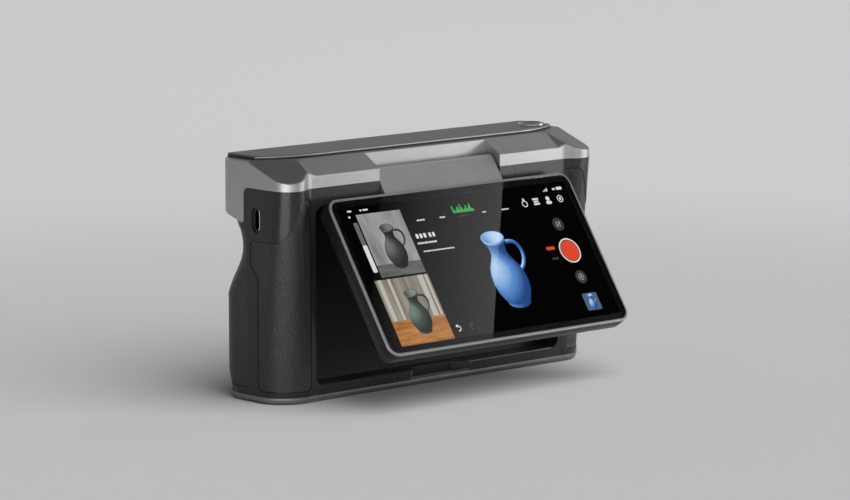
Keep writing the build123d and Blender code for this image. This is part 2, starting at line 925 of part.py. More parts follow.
def battery_pack():
    front = front_inner - battery_front_gap
    shape = block(-battery_half, battery_half, front - battery_thickness, front,
                  base_height, base_height + battery_height)
    return fillet(shape.edges().filter_by(Axis.X), battery_round)


def side_board(outer):
    """Small board beside the right column, with its two screw holes."""
    half = side_board_height / 2
    shape = block(side_standoff_x - standoff_radius, outer, board_y, board_front, port_z - half, port_z + half)
    return shape - group(screw_hole, side_screw_places)


def usb_port():
    mouth = port_recess_depth - half_width
    back = mouth + port_length
    shape = along_x(upright_slot(port_y, port_z, port_height, port_thickness), mouth, back)
    inside = upright_slot(port_y, port_z, port_height - 2 * port_shell, port_thickness - 2 * port_shell)
    shape -= along_x(inside, mouth - wall, back - 2 * port_shell)
    half = port_height / 2 - port_thickness / 2 + port_shell
    tongue = block(mouth + port_tongue_inset, back - port_shell, port_y - port_tongue / 2,
                   port_y + port_tongue / 2, port_z - half, port_z + half)
    return shape + tongue


# Buttons: each has a flange that stops it behind its wall, and a stem in the well of its switch
def scan_button():
    flange_top = ceiling - stop_gap
    shape = rod_z(button_x, button_y, flange_top, plate_top + button_rise, button_radius)
    shape = fillet(shape.faces().sort_by(Axis.Z)[-1].edges(), button_dome)
    shape += rod_z(button_x, button_y, flange_top - button_flange_thickness, flange_top, button_stop)
    return shape + rod_z(button_x, button_y, switch_floor + 2 * button_travel, flange_top, stem_radius)


def scan_switch():
    half = switch_size / 2
    reach = switch_arm + switch_overhang
    shape = block(button_x - half, button_x + half, button_y - half, button_y + half, switch_floor, switch_top)
    shape += block(button_x - half, button_x + half, button_y - reach, button_y + reach,
                   switch_floor - switch_board, switch_floor)
    return shape - rod_z(button_x, button_y, switch_floor, far, stem_radius + stem_gap)


power_flange_x = inner_half - stop_gap
power_switch_x = power_flange_x - button_flange_thickness - power_travel - stem_gap


def power_button():
    face = upright_slot(port_y, port_z, power_height, power_width)
    shape = along_x(face, power_flange_x, half_width + power_proud)
    shape = fillet(shape.faces().sort_by(Axis.X)[-1].edges(), power_proud)
    grow = 2 * (power_gap + button_flange)
    flange = upright_slot(port_y, port_z, power_height + grow, power_width + grow)
    shape += along_x(flange, power_flange_x - button_flange_thickness, power_flange_x)
    return shape + rod_x(power_switch_x - power_stem, power_flange_x, port_y, port_z, stem_radius)


def power_board():
    half = board_y - port_y
    switch = block(power_switch_x - switch_height, power_switch_x, port_y - half - power_switch_back, board_y,
                   port_z - switch_size / 2, port_z + switch_size / 2)
    well = power_switch_x - power_stem - 2 * power_travel
    switch -= rod_x(well, far, port_y, port_z, stem_radius + stem_gap)
    return side_board(power_switch_x) + switch


# Hinge: brackets in the body, shaft and friction stack on the screen
def hinge_bracket():
    shape = rod_x(bracket_x0, barrel_x1, hinge_y, hinge_z, barrel_radius)
    shape += block(bracket_x0, barrel_x1, hinge_y - leg_width / 2, hinge_y + leg_width / 2, foot_z, hinge_z)
    shape += block(bracket_x0, bracket_x0 + foot_length, hinge_y - foot_width / 2, hinge_y + foot_width / 2,
                   foot_z, foot_z + foot_thickness)
    shape -= rod_x(0, far, hinge_y, hinge_z, shaft_radius + shaft_gap)
    return shape - group(screw_hole, bracket_screw_places)


driver_board_bottom = screen_bottom + driver_board_rise
driver_board_top = driver_board_bottom + driver_board_height
lead_foot = driver_board_top + socket_inset


def screen_lead(radius):
    """Lead from the end of the hollow shaft to the middle of the tab and down to the driver board."""
    points = [(-shaft_half, hinge_y, hinge_z), (-lead_x, hinge_y, hinge_z), (-lead_x, hinge_y, lead_foot)]
    path = FilletPolyline(*points, radius=lead_bend)
    return sweep(Plane(points[0], z_dir=(1, 0, 0)) * Circle(radius), path=path)


def board_lead():
    """Lead from the end of the shaft over the pocket wall and down to the main board."""
    points = [
        (-shaft_half, hinge_y, hinge_z),
        (-connector_x, hinge_y, hinge_z),
        (-connector_x, connector_y, hinge_z),
        (-connector_x, connector_y, connector_top),
    ]
    path = FilletPolyline(*points, radius=lead_bend)
    return sweep(Plane(points[0], z_dir=(-1, 0, 0)) * Circle(lead_radius), path=path)


lead_channel = screen_lead(lead_radius + lead_gap)


def hinge_shaft():
    return rod_x(-shaft_half, shaft_half, hinge_y, hinge_z, shaft_radius) - lead_channel


def on_shaft(x0, x1, section):
    """A pair of rings on the shaft."""
    ring = along_x(Pos(hinge_y, hinge_z) * section, x0, x1)
    return both(ring - rod_x(0, far, hinge_y, hinge_z, shaft_radius))


# Screen pieces, in the closed pose
tray_y = glass_inset + rim_depth
tray_inner_back = screen_back_y - screen_wall
screen_middle = (screen_bottom + screen_top) / 2
tongue_y = tray_inner_back - tongue_thickness
tongue_bottom = screen_top - tongue_height
tab_screw_places = [
    (
        (tongue_width / 2 - tab_screw_margin, tongue_y, tongue_bottom + tab_screw_rise),
        forward,
        tongue_thickness + screen_wall / 2,
    ),
]


def centred(width, height, corner):
    return Pos(0, screen_middle) * RectangleRounded(width, height, corner)


def cover_glass():
    return along_y(centred(glass_width, glass_height, glass_corner), glass_inset, glass_inset + glass_thickness)


def screen_rim():
    shape = along_y(centred(2 * screen_half, screen_height, glass_corner + rim_width), glass_inset, tray_y)
    shape = fillet(shape.faces().sort_by(Axis.Y)[0].edges(), rim_edge)
    glass_seat = centred(glass_width + 2 * glass_gap, glass_height + 2 * glass_gap, glass_corner + glass_gap)
    shape -= along_y(glass_seat, -far, glass_inset + glass_thickness)
    display_room = centred(display_width + 2 * glass_gap, display_height + 2 * glass_gap, glass_gap)
    return shape - along_y(display_room, -far, far)


def display_panel():
    start = glass_inset + glass_thickness
    return along_y(centred(display_width, display_height, glass_gap), start, start + display_thickness)


def screen_back():
    shape = along_y(centred(2 * screen_half, screen_height, glass_corner + rim_width), tray_y, screen_back_y)
    shape = fillet(shape.faces().sort_by(Axis.Y)[-1].edges(), screen_back_round)
    inside = centred(2 * (screen_half - screen_wall), screen_height - 2 * screen_wall, glass_corner)
    room = along_y(inside, tray_y, tray_inner_back)
    shape -= fillet(room.faces().sort_by(Axis.Y)[-1].edges(), screen_back_round - screen_wall)
    slot_half = tongue_width / 2 + glass_gap
    shape -= block(-slot_half, slot_half, tongue_y - glass_gap, tray_inner_back, screen_middle, far)
    return shape - lead_channel - group(screw_hole, tab_screw_places)


def driver_board():
    half = driver_board_width / 2
    shape = block(-half, half, tray_inner_back - driver_board_thickness, tray_inner_back,
                  driver_board_bottom, driver_board_top)
    return shape + block(-lead_x - socket_width / 2, socket_width / 2 - lead_x, hinge_y - socket_lip, tray_inner_back,
                         lead_foot - socket_height, lead_foot)


def hinge_tab():
    half = tab_width / 2
    shape = block(-half, half, hinge_y - tab_thickness / 2, hinge_y + tab_thickness / 2, screen_top + tab_gap, hinge_z)
    shape += rod_x(-half, half, hinge_y, hinge_z, tab_thickness / 2)
    shape += block(-tongue_width / 2, tongue_width / 2, tongue_y, tray_inner_back, tongue_bottom, hinge_z)
    shape -= rod_x(-far, far, hinge_y, hinge_z, shaft_radius)
    return shape - lead_channel - group(screw_hole, tab_screw_places)


# Whole part: fixed pieces, then the pieces that swing with the screen
right_bracket = hinge_bracket()
fixed = {
    "rear_housing": rear_housing(),
    "front_housing": front_housing(),
    "top_cap": top_cap(),
    "top_plate": top_plate(),
    "base_plate": base_plate(),
    "left_rear_grip": mirrored(right_rear_grip),
    "right_rear_grip": right_rear_grip,
    "left_front_grip": mirrored(right_front_grip),
    "right_front_grip": right_front_grip,
    "recess_panel": recess_panel(),
    "front_window": front_window(),
    "lens_covers": lens_covers(),
    "light_ring": light_ring(),
    "optics_bench": optics_bench(),
    "main_board": main_board(),
    "board_chips": board_chips(),
    "heat_spreader": heat_spreader(),
    "battery_pack": battery_pack(),
    "usb_board": mirrored(side_board(inner_half - stop_gap)),
    "usb_port": usb_port(),
    "power_board": power_board(),
    "power_button": power_button(),
    "scan_button": scan_button(),
    "scan_switch": scan_switch(),
    "hinge_bracket_left": mirrored(right_bracket),
    "hinge_bracket_right": right_bracket,
    "board_lead": board_lead(),
    "tripod_insert": tripod_insert(),
    "base_screws": group(screw, base_screw_places),
    "housing_screws": group(screw, housing_screw_places),
    "board_screws": group(screw, board_screw_places),
    "side_board_screws": group(screw, side_screw_places),
    "bracket_screws": group(screw, bracket_screw_places),
    "optics_screws": group(screw, optics_screw_places),
}
for name, (x, z, radius) in lens_places.items():
    fixed[name] = lens_module(x, z, radius)
swinging = {
    "cover_glass": cover_glass(),
    "screen_rim": screen_rim(),
    "display_panel": display_panel(),
    "screen_back": screen_back(),
    "driver_board": driver_board(),
    "hinge_tab": hinge_tab(),
    "hinge_shaft": hinge_shaft(),
    "hinge_collars": on_shaft(tab_width / 2, notch_half - shaft_gap, Circle(collar_radius)),
    "friction_discs": on_shaft(barrel_x1 + shaft_gap, disc_x1, Circle(disc_radius)),
    "shaft_nuts": on_shaft(disc_x1, disc_x1 + nut_thickness, RegularPolygon(nut_radius, 6)),
    "tab_screws": group(screw, tab_screw_places),
    "screen_lead": screen_lead(lead_radius),
}

hinge_axis = Axis((0, hinge_y, hinge_z), (-1, 0, 0))
to_origin = Pos(0, -socket_y, 0)
os.makedirs("parts", exist_ok=True)
for name, shape in fixed.items():
    export_step(to_origin * shape, f"parts/{name}.step")
for name, shape in swinging.items():
    export_step(to_origin * shape.rotate(hinge_axis, rest_tilt), f"parts/{name}.step")
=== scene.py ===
import bmesh
import bpy
import json
from math import cos, pi, radians, sin
from mathutils import Matrix, Vector

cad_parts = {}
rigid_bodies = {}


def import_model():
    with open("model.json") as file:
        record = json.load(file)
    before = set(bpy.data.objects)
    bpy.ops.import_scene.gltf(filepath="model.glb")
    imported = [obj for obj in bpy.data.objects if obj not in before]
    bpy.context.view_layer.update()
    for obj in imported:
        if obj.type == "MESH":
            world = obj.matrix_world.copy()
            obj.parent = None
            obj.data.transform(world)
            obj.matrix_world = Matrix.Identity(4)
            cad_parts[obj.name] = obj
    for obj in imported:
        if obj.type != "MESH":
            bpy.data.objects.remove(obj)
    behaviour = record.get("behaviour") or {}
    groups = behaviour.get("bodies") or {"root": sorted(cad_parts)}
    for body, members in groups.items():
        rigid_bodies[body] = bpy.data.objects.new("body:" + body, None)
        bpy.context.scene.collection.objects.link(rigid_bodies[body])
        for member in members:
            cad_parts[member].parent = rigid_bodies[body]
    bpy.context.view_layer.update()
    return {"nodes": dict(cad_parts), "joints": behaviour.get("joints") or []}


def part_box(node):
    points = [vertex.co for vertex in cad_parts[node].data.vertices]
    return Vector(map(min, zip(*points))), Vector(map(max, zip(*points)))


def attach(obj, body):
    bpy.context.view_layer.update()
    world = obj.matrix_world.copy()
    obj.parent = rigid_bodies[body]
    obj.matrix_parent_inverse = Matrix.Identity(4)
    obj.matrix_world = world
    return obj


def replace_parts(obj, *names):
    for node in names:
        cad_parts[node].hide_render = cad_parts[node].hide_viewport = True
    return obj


for left_over in list(bpy.data.objects):
    bpy.data.objects.remove(left_over)
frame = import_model()
mm = 0.001


# Base plate: the tray that closes the scanner from below.
# Die-cast aluminium, blasted with fine beads and anodised silver, with a rolled lower edge. Its silver is
# painted darker than the cap's, as shade.
def place(tree, kind, **sockets):
    """A new node, with values for some of its inputs."""
    made = tree.nodes.new("ShaderNode" + kind)
    for name, value in sockets.items():
        made.inputs[name.replace("_", " ")].default_value = value
    return made


def wire(tree, *links):
    """Links between nodes, each from an output to an input."""
    for start, end in links:
        tree.links.new(start, end)


def new_group(name, inputs, outputs):
    """An empty node group with number sockets, and its two ends."""
    tree = bpy.data.node_groups.new(name, "ShaderNodeTree")
    for socket in inputs:
        tree.interface.new_socket(socket, in_out="INPUT", socket_type="NodeSocketFloat")
    for socket in outputs:
        tree.interface.new_socket(socket, in_out="OUTPUT", socket_type="NodeSocketFloat")
    return tree, tree.nodes.new("NodeGroupInput"), tree.nodes.new("NodeGroupOutput")


blasted_grain, grain_in, grain_out = new_group("blasted_grain", ["Scale"], ["Fine", "Cloud"])
grain_place = place(blasted_grain, "TexCoord")
grain_fine = place(blasted_grain, "TexNoise", Detail=2.0, Roughness=0.6)
grain_cloud = place(blasted_grain, "TexNoise", Scale=38.0, Detail=4.0, Roughness=0.55)
wire(
    blasted_grain,
    (grain_place.outputs["Object"], grain_fine.inputs["Vector"]),
    (grain_place.outputs["Object"], grain_cloud.inputs["Vector"]),
    (grain_in.outputs["Scale"], grain_fine.inputs["Scale"]),
    (grain_fine.outputs["Fac"], grain_out.inputs["Fine"]),
    (grain_cloud.outputs["Fac"], grain_out.inputs["Cloud"]),
)


def shine(material, **sockets):
    """Sets values that are the same all over a material."""
    shader = material.node_tree.nodes["Principled BSDF"]
    for name, value in sockets.items():
        shader.inputs[name.replace("_", " ")].default_value = value


def plain(name, colour, roughness, metallic=0.0):
    """A new material, its node tree and its shader."""
    material = bpy.data.materials.new(name)
    material.use_nodes = True
    shine(material, Base_Color=(*colour, 1), Roughness=roughness, Metallic=metallic)
    return material, material.node_tree, material.node_tree.nodes["Principled BSDF"]


def grey(value):
    """A grey with a faint cool tint."""
    cool = 1.015
    return (value, value, value * cool)


def drift(tree, mask, low, high):
    """A number that drifts between two values with a mask."""
    scaled = place(tree, "MapRange", To_Min=low, To_Max=high)
    tree.links.new(mask, scaled.inputs["Value"])
    return scaled.outputs["Result"]


def tint(tree, mask, low, high):
    """A colour that drifts between two colours with a mask."""
    low_until, high_from = 0.35, 0.65
    ramp = place(tree, "ValToRGB")
    first, last = ramp.color_ramp.elements
    first.position, first.color = low_until, (*low, 1)
    last.position, last.color = high_from, (*high, 1)
    tree.links.new(mask, ramp.inputs["Fac"])
    return ramp.outputs["Color"]


def relief(tree, shader, height, strength, depth):
    """Small relief from a height mask."""
    bump = place(tree, "Bump", Strength=strength, Distance=depth)
    wire(tree, (height, bump.inputs["Height"]), (bump.outputs["Normal"], shader.inputs["Normal"]))


def blasted(name, low, high, roughness, metallic=0.0, grain=0.2 * mm, strength=0.1):
    """Evenly grained finish: its tone and gloss drift a little over the surface."""
    gloss_drift, grain_slope = 0.04, 0.25
    material, tree, shader = plain(name, low, roughness, metallic)
    grained = place(tree, "Group")
    grained.node_tree = blasted_grain
    grained.inputs["Scale"].default_value = 1 / grain
    cloud = grained.outputs["Cloud"]
    tone = tint(tree, cloud, low, high)
    gloss = drift(tree, cloud, roughness - gloss_drift, roughness + gloss_drift)
    wire(tree, (tone, shader.inputs["Base Color"]), (gloss, shader.inputs["Roughness"]))
    relief(tree, shader, grained.outputs["Fine"], strength, grain_slope * grain)
    return material


def dress(material, *nodes):
    """Gives a material to CAD pieces."""
    for name in nodes:
        frame["nodes"][name].material_slots[0].material = material


# Painted shade: the cap's silver, set much darker on the base.
base_silver_shaded = blasted("base_anodised_painted_shade", grey(0.19), grey(0.22), roughness=0.38, metallic=0.85, grain=0.16 * mm)
dress(base_silver_shaded, "base_plate")

# Tripod insert: a turned brass bush pressed into the base, with a flange inside.
# Its bore takes a tripod screw.
brass_pale, brass_deep = (0.58, 0.43, 0.19), (0.50, 0.36, 0.15)
brass = blasted(
    "turned_brass", brass_deep, brass_pale, roughness=0.3, metallic=1.0, grain=0.3 * mm, strength=0.15
)
dress(brass, "tripod_insert")

# Housings: the two halves of the body, moulded in dark grey glass-filled plastic.
# The tool was spark-eroded, which leaves a fine even texture, and the parting edges are broken.
seam_reach, sharp_angle = 0.002 * mm, radians(40)


def soften(width, *nodes):
    """Rounds the sharp edges of CAD pieces by a small width."""
    for name in nodes:
        piece = frame["nodes"][name]
        weld = piece.modifiers.new("weld", "WELD")
        weld.merge_threshold = seam_reach
        flat = piece.modifiers.new("flat", "DECIMATE")
        flat.decimate_type = "DISSOLVE"
        flat.angle_limit = radians(0.2)
        rounded = piece.modifiers.new("rounded", "BEVEL")
        rounded.width = width
        rounded.segments = 2
        rounded.limit_method = "ANGLE"
        rounded.angle_limit = sharp_angle
        even = piece.modifiers.new("even", "WEIGHTED_NORMAL")
        even.keep_sharp = False


housing_plastic = blasted(
    "moulded_dark_grey", grey(0.014), grey(0.018), roughness=0.28, grain=0.22 * mm, strength=0.16
)
shine(housing_plastic, Specular_IOR_Level=0.35)
dress(housing_plastic, "rear_housing", "front_housing")
soften(0.25 * mm, "rear_housing")

# Pocket panel: the black film that lines the pocket behind the screen.
# A calendered sheet, stuck to the pocket's floor.
pocket_black = blasted("pocket_black", grey(0.003), grey(0.004), roughness=0.5, strength=0.15)
shine(pocket_black, Specular_IOR_Level=0.25)
dress(pocket_black, "recess_panel")

# Grip panels: thin sheets of grained leatherette, wrapped round the columns and the front grips.
# They are glued into shallow beds, so a fine joint runs round each of them.
pebble_size, pebble_wander, pebble_edge = 0.75 * mm, 0.35 * mm, 0.32
pebble_height, pebble_strength = 0.18 * mm, 0.42
grip_joint, grip_rounding = 0.3 * mm, 0.3 * mm

hide_grain, hide_in, hide_out = new_group("hide_grain", ["Scale"], ["Pebble", "Cloud"])
hide_place = place(hide_grain, "TexCoord")
hide_wander = place(hide_grain, "TexNoise", Scale=700.0, Detail=2.0)
hide_offset = place(hide_grain, "VectorMath")
hide_offset.operation = "MULTIPLY_ADD"
hide_offset.inputs[1].default_value = (pebble_wander, pebble_wander, pebble_wander)
hide_cells = place(hide_grain, "TexVoronoi")
hide_cells.feature = "DISTANCE_TO_EDGE"
hide_dome = place(hide_grain, "MapRange", From_Max=pebble_edge)
hide_dome.interpolation_type = "SMOOTHSTEP"
hide_cloud = place(hide_grain, "TexNoise", Scale=160.0, Detail=3.0)
wire(
    hide_grain,
    (hide_place.outputs["Object"], hide_wander.inputs["Vector"]),
    (hide_wander.outputs["Color"], hide_offset.inputs[0]),
    (hide_place.outputs["Object"], hide_offset.inputs[2]),
    (hide_offset.outputs["Vector"], hide_cells.inputs["Vector"]),
    (hide_in.outputs["Scale"], hide_cells.inputs["Scale"]),
    (hide_cells.outputs["Distance"], hide_dome.inputs["Value"]),
    (hide_dome.outputs["Result"], hide_out.inputs["Pebble"]),
    (hide_place.outputs["Object"], hide_cloud.inputs["Vector"]),
    (hide_cloud.outputs["Fac"], hide_out.inputs["Cloud"]),
)

hide, hide_tree, hide_shader = plain("grip_leatherette", grey(0.02), roughness=0.5)
hide_pattern = place(hide_tree, "Group")
hide_pattern.node_tree = hide_grain
hide_pattern.inputs["Scale"].default_value = 1 / pebble_size
pebble = hide_pattern.outputs["Pebble"]
hide_tone = tint(hide_tree, pebble, grey(0.006), grey(0.015))
hide_gloss = drift(hide_tree, hide_pattern.outputs["Cloud"], 0.36, 0.50)
wire(hide_tree, (hide_tone, hide_shader.inputs["Base Color"]), (hide_gloss, hide_shader.inputs["Roughness"]))
relief(hide_tree, hide_shader, pebble, pebble_strength, pebble_height)
grips = ("left_rear_grip", "right_rear_grip", "left_front_grip", "right_front_grip")
dress(hide, *grips)
for name in grips:
    sheet = frame["nodes"][name]
    closed = sheet.modifiers.new("joint_gap", "WELD")
    closed.merge_threshold = seam_reach
    shrunk = sheet.modifiers.new("shrunk", "DISPLACE")
    shrunk.strength = -grip_joint
    shrunk.mid_level = 0.0
soften(grip_rounding, *grips)

# Cap: the silver lid on both housings, with a sloped back and a wing down each front corner.
# Cast, blasted and anodised as the base is; the base's copy of this silver is painted darker as shade.
silver = blasted("cap_anodised", grey(0.34), grey(0.38), roughness=0.45, metallic=0.85, grain=0.16 * mm)
dress(silver, "top_cap")


# Top plate: a flat inlay on the cap, of rolled aluminium sheet with a fine grain, anodised grey.
# Its rim is turned down. Its foot is painted dark as shade in the joint below it. Its top is painted pale
# along the back as a highlight, and dark toward the front as shade.
# It has a hole for the scan button.
def along(tree, axis, start, end, middle=(0, 0, 0), turn=0.0):
    """A mask that grows from 0 to 1 along an axis, which may be moved and turned round X."""
    origin = place(tree, "TexCoord")
    moved = place(tree, "Mapping", Location=middle, Rotation=(turn, 0, 0))
    moved.vector_type = "TEXTURE"
    axes = place(tree, "SeparateXYZ")
    mask = place(tree, "MapRange", From_Min=start, From_Max=end)
    wire(
        tree,
        (origin.outputs["Object"], moved.inputs["Vector"]),
        (moved.outputs["Vector"], axes.inputs["Vector"]),
        (axes.outputs[axis], mask.inputs["Value"]),
    )
    return mask.outputs["Result"]


def blend(tree, mask, low, high):
    """A colour that changes with a mask. Each end is a colour or another node's output."""
    first_colour, second_colour, blended_colour = 6, 7, 2
    mixed = place(tree, "Mix")
    mixed.data_type = "RGBA"
    tree.links.new(mask, mixed.inputs["Factor"])
    for socket, end in ((mixed.inputs[first_colour], low), (mixed.inputs[second_colour], high)):
        if isinstance(end, tuple):
            socket.default_value = (*end, 1)
        else:
            tree.links.new(end, socket)
    return mixed.outputs[blended_colour]


plate_low, plate_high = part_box("top_plate")
plate_shade_height, plate_shade_fade = 0.7 * mm, 0.14 * mm
plate_highlight_height, plate_highlight_fade, plate_highlight_end = 0.12 * mm, 0.08 * mm, 3.0 * mm
top_grey = blasted("brushed_grey", grey(0.135), grey(0.155), roughness=0.40, metallic=0.75, strength=0.08)
plate_tree = top_grey.node_tree
plate_colour = plate_tree.nodes["Principled BSDF"].inputs["Base Color"]
# Painted highlight and shade: the top of the rim is pale along the back and dark toward the front.
plate_highlight_tone = tint(plate_tree, along(plate_tree, "Y", 0.0, plate_highlight_end), grey(0.30), grey(0.07))
plate_highlight_foot = plate_high.z - plate_highlight_height
above_plate_highlight = along(plate_tree, "Z", plate_highlight_foot, plate_highlight_foot + plate_highlight_fade)
plate_highlight_colour = blend(plate_tree, above_plate_highlight, plate_highlight_tone, plate_colour.links[0].from_socket)
# Painted shade: the foot of the rim is dark, as the joint below it lies in shade.
plate_shade_top = plate_low.z + plate_shade_height
above_plate_shade = along(plate_tree, "Z", plate_shade_top, plate_shade_top + plate_shade_fade)
plate_tree.links.new(blend(plate_tree, above_plate_shade, grey(0.02), plate_highlight_colour), plate_colour)


def finished(name, shape, material):
    """A finished piece from a shape."""
    mesh = bpy.data.meshes.new(name)
    shape.to_mesh(mesh)
    shape.free()
    mesh.materials.append(material)
    piece = bpy.data.objects.new(name, mesh)
    bpy.context.scene.collection.objects.link(piece)
    return piece


def keep(name, shape, material, body):
    """A finished piece on the body that carries it."""
    piece = finished(name, shape, material)
    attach(piece, body)
    return piece


def pull(shape, faces, way):
    """Pulls faces out into a solid."""
    pulled = bmesh.ops.extrude_face_region(shape, geom=faces, use_keep_orig=True)["geom"]
    moved = [part for part in pulled if isinstance(part, bmesh.types.BMVert)]
    bmesh.ops.translate(shape, verts=moved, vec=way)
    bmesh.ops.recalc_face_normals(shape, faces=shape.faces)


def round_edges(shape, edges, width, steps):
    """Rounds edges of a shape by a width."""
    bmesh.ops.bevel(shape, geom=edges, offset=width, segments=steps, profile=0.5, affect="EDGES", material=-1)


def bend(start, knee, end, steps):
    """Points of a curve that leaves one point toward a knee and comes from it to another."""
    for step in range(steps + 1):
        t = step / steps
        yield tuple((1 - t) ** 2 * a + 2 * t * (1 - t) * b + t * t * c for a, b, c in zip(start, knee, end))


button_low, button_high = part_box("scan_button")
button_middle = (button_low + button_high) / 2
button_radius, button_gap = 6.1, 0.2
plate_overhang, plate_skirt, plate_rounding = 0.8, 1.6 * mm, 0.75 * mm
plate_half, plate_front, plate_rear = plate_high.x / mm + plate_overhang, plate_high.y / mm, -7.0
plate_corner, sweep_start, sweep_knee = 3.0, 62.0, 78.0
ear_place, ear_round = 1.4, 1.0
ear_start = (plate_half - ear_round, ear_place - ear_round / 2)
ear_turn = (plate_half - ear_round / 2, ear_place - ear_round / 5)
plate_flank = [
    *bend((sweep_start, plate_rear), (sweep_knee, plate_rear), ear_start, 18),
    *bend(ear_turn, (plate_half, ear_place), (plate_half, ear_place + ear_round), 5),
    *bend(
        (plate_half, plate_front - plate_corner),
        (plate_half, plate_front),
        (plate_half - plate_corner, plate_front),
        6,
    ),
]
plate_outline = plate_flank + [(-x, y) for x, y in reversed(plate_flank)]
plate_shape = bmesh.new()
corners = [plate_shape.verts.new((x * mm, y * mm, plate_high.z)) for x, y in plate_outline]
plate_rim = [plate_shape.edges.new(pair) for pair in zip(corners, corners[1:] + corners[:1])]
bmesh.ops.create_circle(
    plate_shape,
    segments=64,
    radius=(button_radius + button_gap) * mm,
    matrix=Matrix.Translation((button_middle.x, button_middle.y, plate_high.z)),
)
bmesh.ops.triangle_fill(plate_shape, use_beauty=True, edges=plate_shape.edges[:])
pull(plate_shape, plate_shape.faces[:], (0, 0, plate_low.z - plate_skirt - plate_high.z))
round_edges(plate_shape, plate_rim, plate_rounding, 4)
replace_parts(keep("inlay_plate", plate_shape, top_grey, "body"), "top_plate")

# Buttons: a dished one on top to scan, and a slim one at the side for power.
# Turned or milled from aluminium, blasted finely and anodised.
button_grey = blasted(
    "button_anodised", grey(0.34), grey(0.38), roughness=0.28, metallic=0.85, grain=0.15 * mm, strength=0.06
)
dress(button_grey, "power_button")


def bowl(radius, middle, edge, steps=8):
    """A shallow curve from the axis out, with its heights in the middle and at the edge."""
    return [(radius * s / steps, middle + (edge - middle) * (s / steps) ** 2) for s in range(steps + 1)]


def turned(shape, profile, place_at, steps=64):
    """A turned form round the Z axis of a place. The profile runs from the axis to the axis."""
    points = [shape.verts.new(place_at @ Vector((r * mm, 0, z * mm))) for r, z in profile]
    lines = [shape.edges.new(pair) for pair in zip(points, points[1:])]
    bmesh.ops.spin(
        shape,
        geom=points + lines,
        cent=place_at.translation,
        axis=place_at.to_3x3() @ Vector((0, 0, 1)),
        angle=2 * pi,
        steps=steps,
        use_merge=True,
    )


def polish(shape):
    """Closes the seams and poles of turned forms and shades them smooth."""
    bmesh.ops.remove_doubles(shape, verts=shape.verts, dist=seam_reach / 2)
    bmesh.ops.recalc_face_normals(shape, faces=shape.faces)
    for face in shape.faces:
        face.smooth = True


dish_radius, dish_floor, dish_edge, button_depth = 5.3, 0.05, 0.85, 4.0
button_rim = [(5.5, 0.9), (5.8, 0.9), (6.0, 0.8), (button_radius, 0.6)]
button_foot = [(button_radius, -button_depth), (0, -button_depth)]
button_shape = bmesh.new()
turned(
    button_shape,
    bowl(dish_radius, dish_floor, dish_edge) + button_rim + button_foot,
    Matrix.Translation((button_middle.x, button_middle.y, plate_high.z)),
)
polish(button_shape)
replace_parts(keep("dished_button", button_shape, button_grey, "scan_button"), "scan_button")

# Sill highlights: pale strips along the edges round the finger notch under the screen, and the notch's low
# lip.
# The strips are a painted highlight on those edges; the lip is a block of the housing's plastic.
sill_highlight = blasted("sill_painted_highlight", grey(0.20), grey(0.24), roughness=0.35, metallic=0.2, strength=0.05)
sill_back, sill_top, sill_foot, sill_end, notch_half = -20.5, 7.4, 3.0, 70.0, 17.5
strip_width, strip_proud, strip_rounding = 0.3, 0.05, 0.05 * mm
lip_top, lip_set, lip_thickness = sill_foot + 1.1, 0.25, 0.4


def block(shape, low, high):
    """A block between two corners, in millimetres."""
    middle = [(a + b) / 2 * mm for a, b in zip(low, high)]
    lengths = [(b - a) * mm for a, b in zip(low, high)]
    bmesh.ops.create_cube(shape, size=1.0, matrix=Matrix.Translation(middle) @ Matrix.Diagonal((*lengths, 1)))


# Painted highlight: thin pale strips standing just proud of the sill's edges.
sill_highlight_strips = bmesh.new()
for left, foot, right, top in (
    (notch_half, sill_top - strip_width, sill_end, sill_top + strip_proud),
    (-notch_half - strip_width, sill_foot, -notch_half, sill_top),
    (-notch_half, lip_top - strip_width, notch_half, lip_top),
    (-notch_half, sill_foot, notch_half, sill_foot + strip_width),
):
    block(sill_highlight_strips, (left, sill_back - strip_proud, foot), (right, sill_back - strip_proud + strip_width, top))
round_edges(sill_highlight_strips, sill_highlight_strips.edges, strip_rounding, 1)
keep("sill_highlight_strips", sill_highlight_strips, sill_highlight, "body")
notch_lip = bmesh.new()
lip_front = sill_back + lip_set - lip_thickness / 2
block(
    notch_lip,
    (-notch_half, lip_front, sill_foot),
    (notch_half, lip_front + lip_thickness, lip_top - strip_width),
)
keep("notch_lip", notch_lip, housing_plastic, "body")

# Optics: lens modules on a milled bench, seen through the holes of a gloss black window.
# The barrels are black anodised, and a ring of lamps sits round the colour camera.
barrels = (
    "far_camera_left", "far_camera_right", "near_camera_left", "near_camera_right",
    "projector", "colour_camera",
)
window_black = blasted(
    "window_black", grey(0.004), grey(0.006), roughness=0.09, grain=0.5 * mm, strength=0.01
)
shine(window_black, Coat_Weight=0.4)
dress(window_black, "front_window")
barrel_black = blasted("barrel_black", grey(0.012), grey(0.016), roughness=0.35, metallic=0.3, grain=0.1 * mm)
dress(barrel_black, *barrels)
soften(0.15 * mm, "front_window", *barrels)
milled = blasted("milled_aluminium", grey(0.5), grey(0.56), roughness=0.35, metallic=1.0, grain=0.3 * mm)
dress(milled, "optics_bench", "heat_spreader")

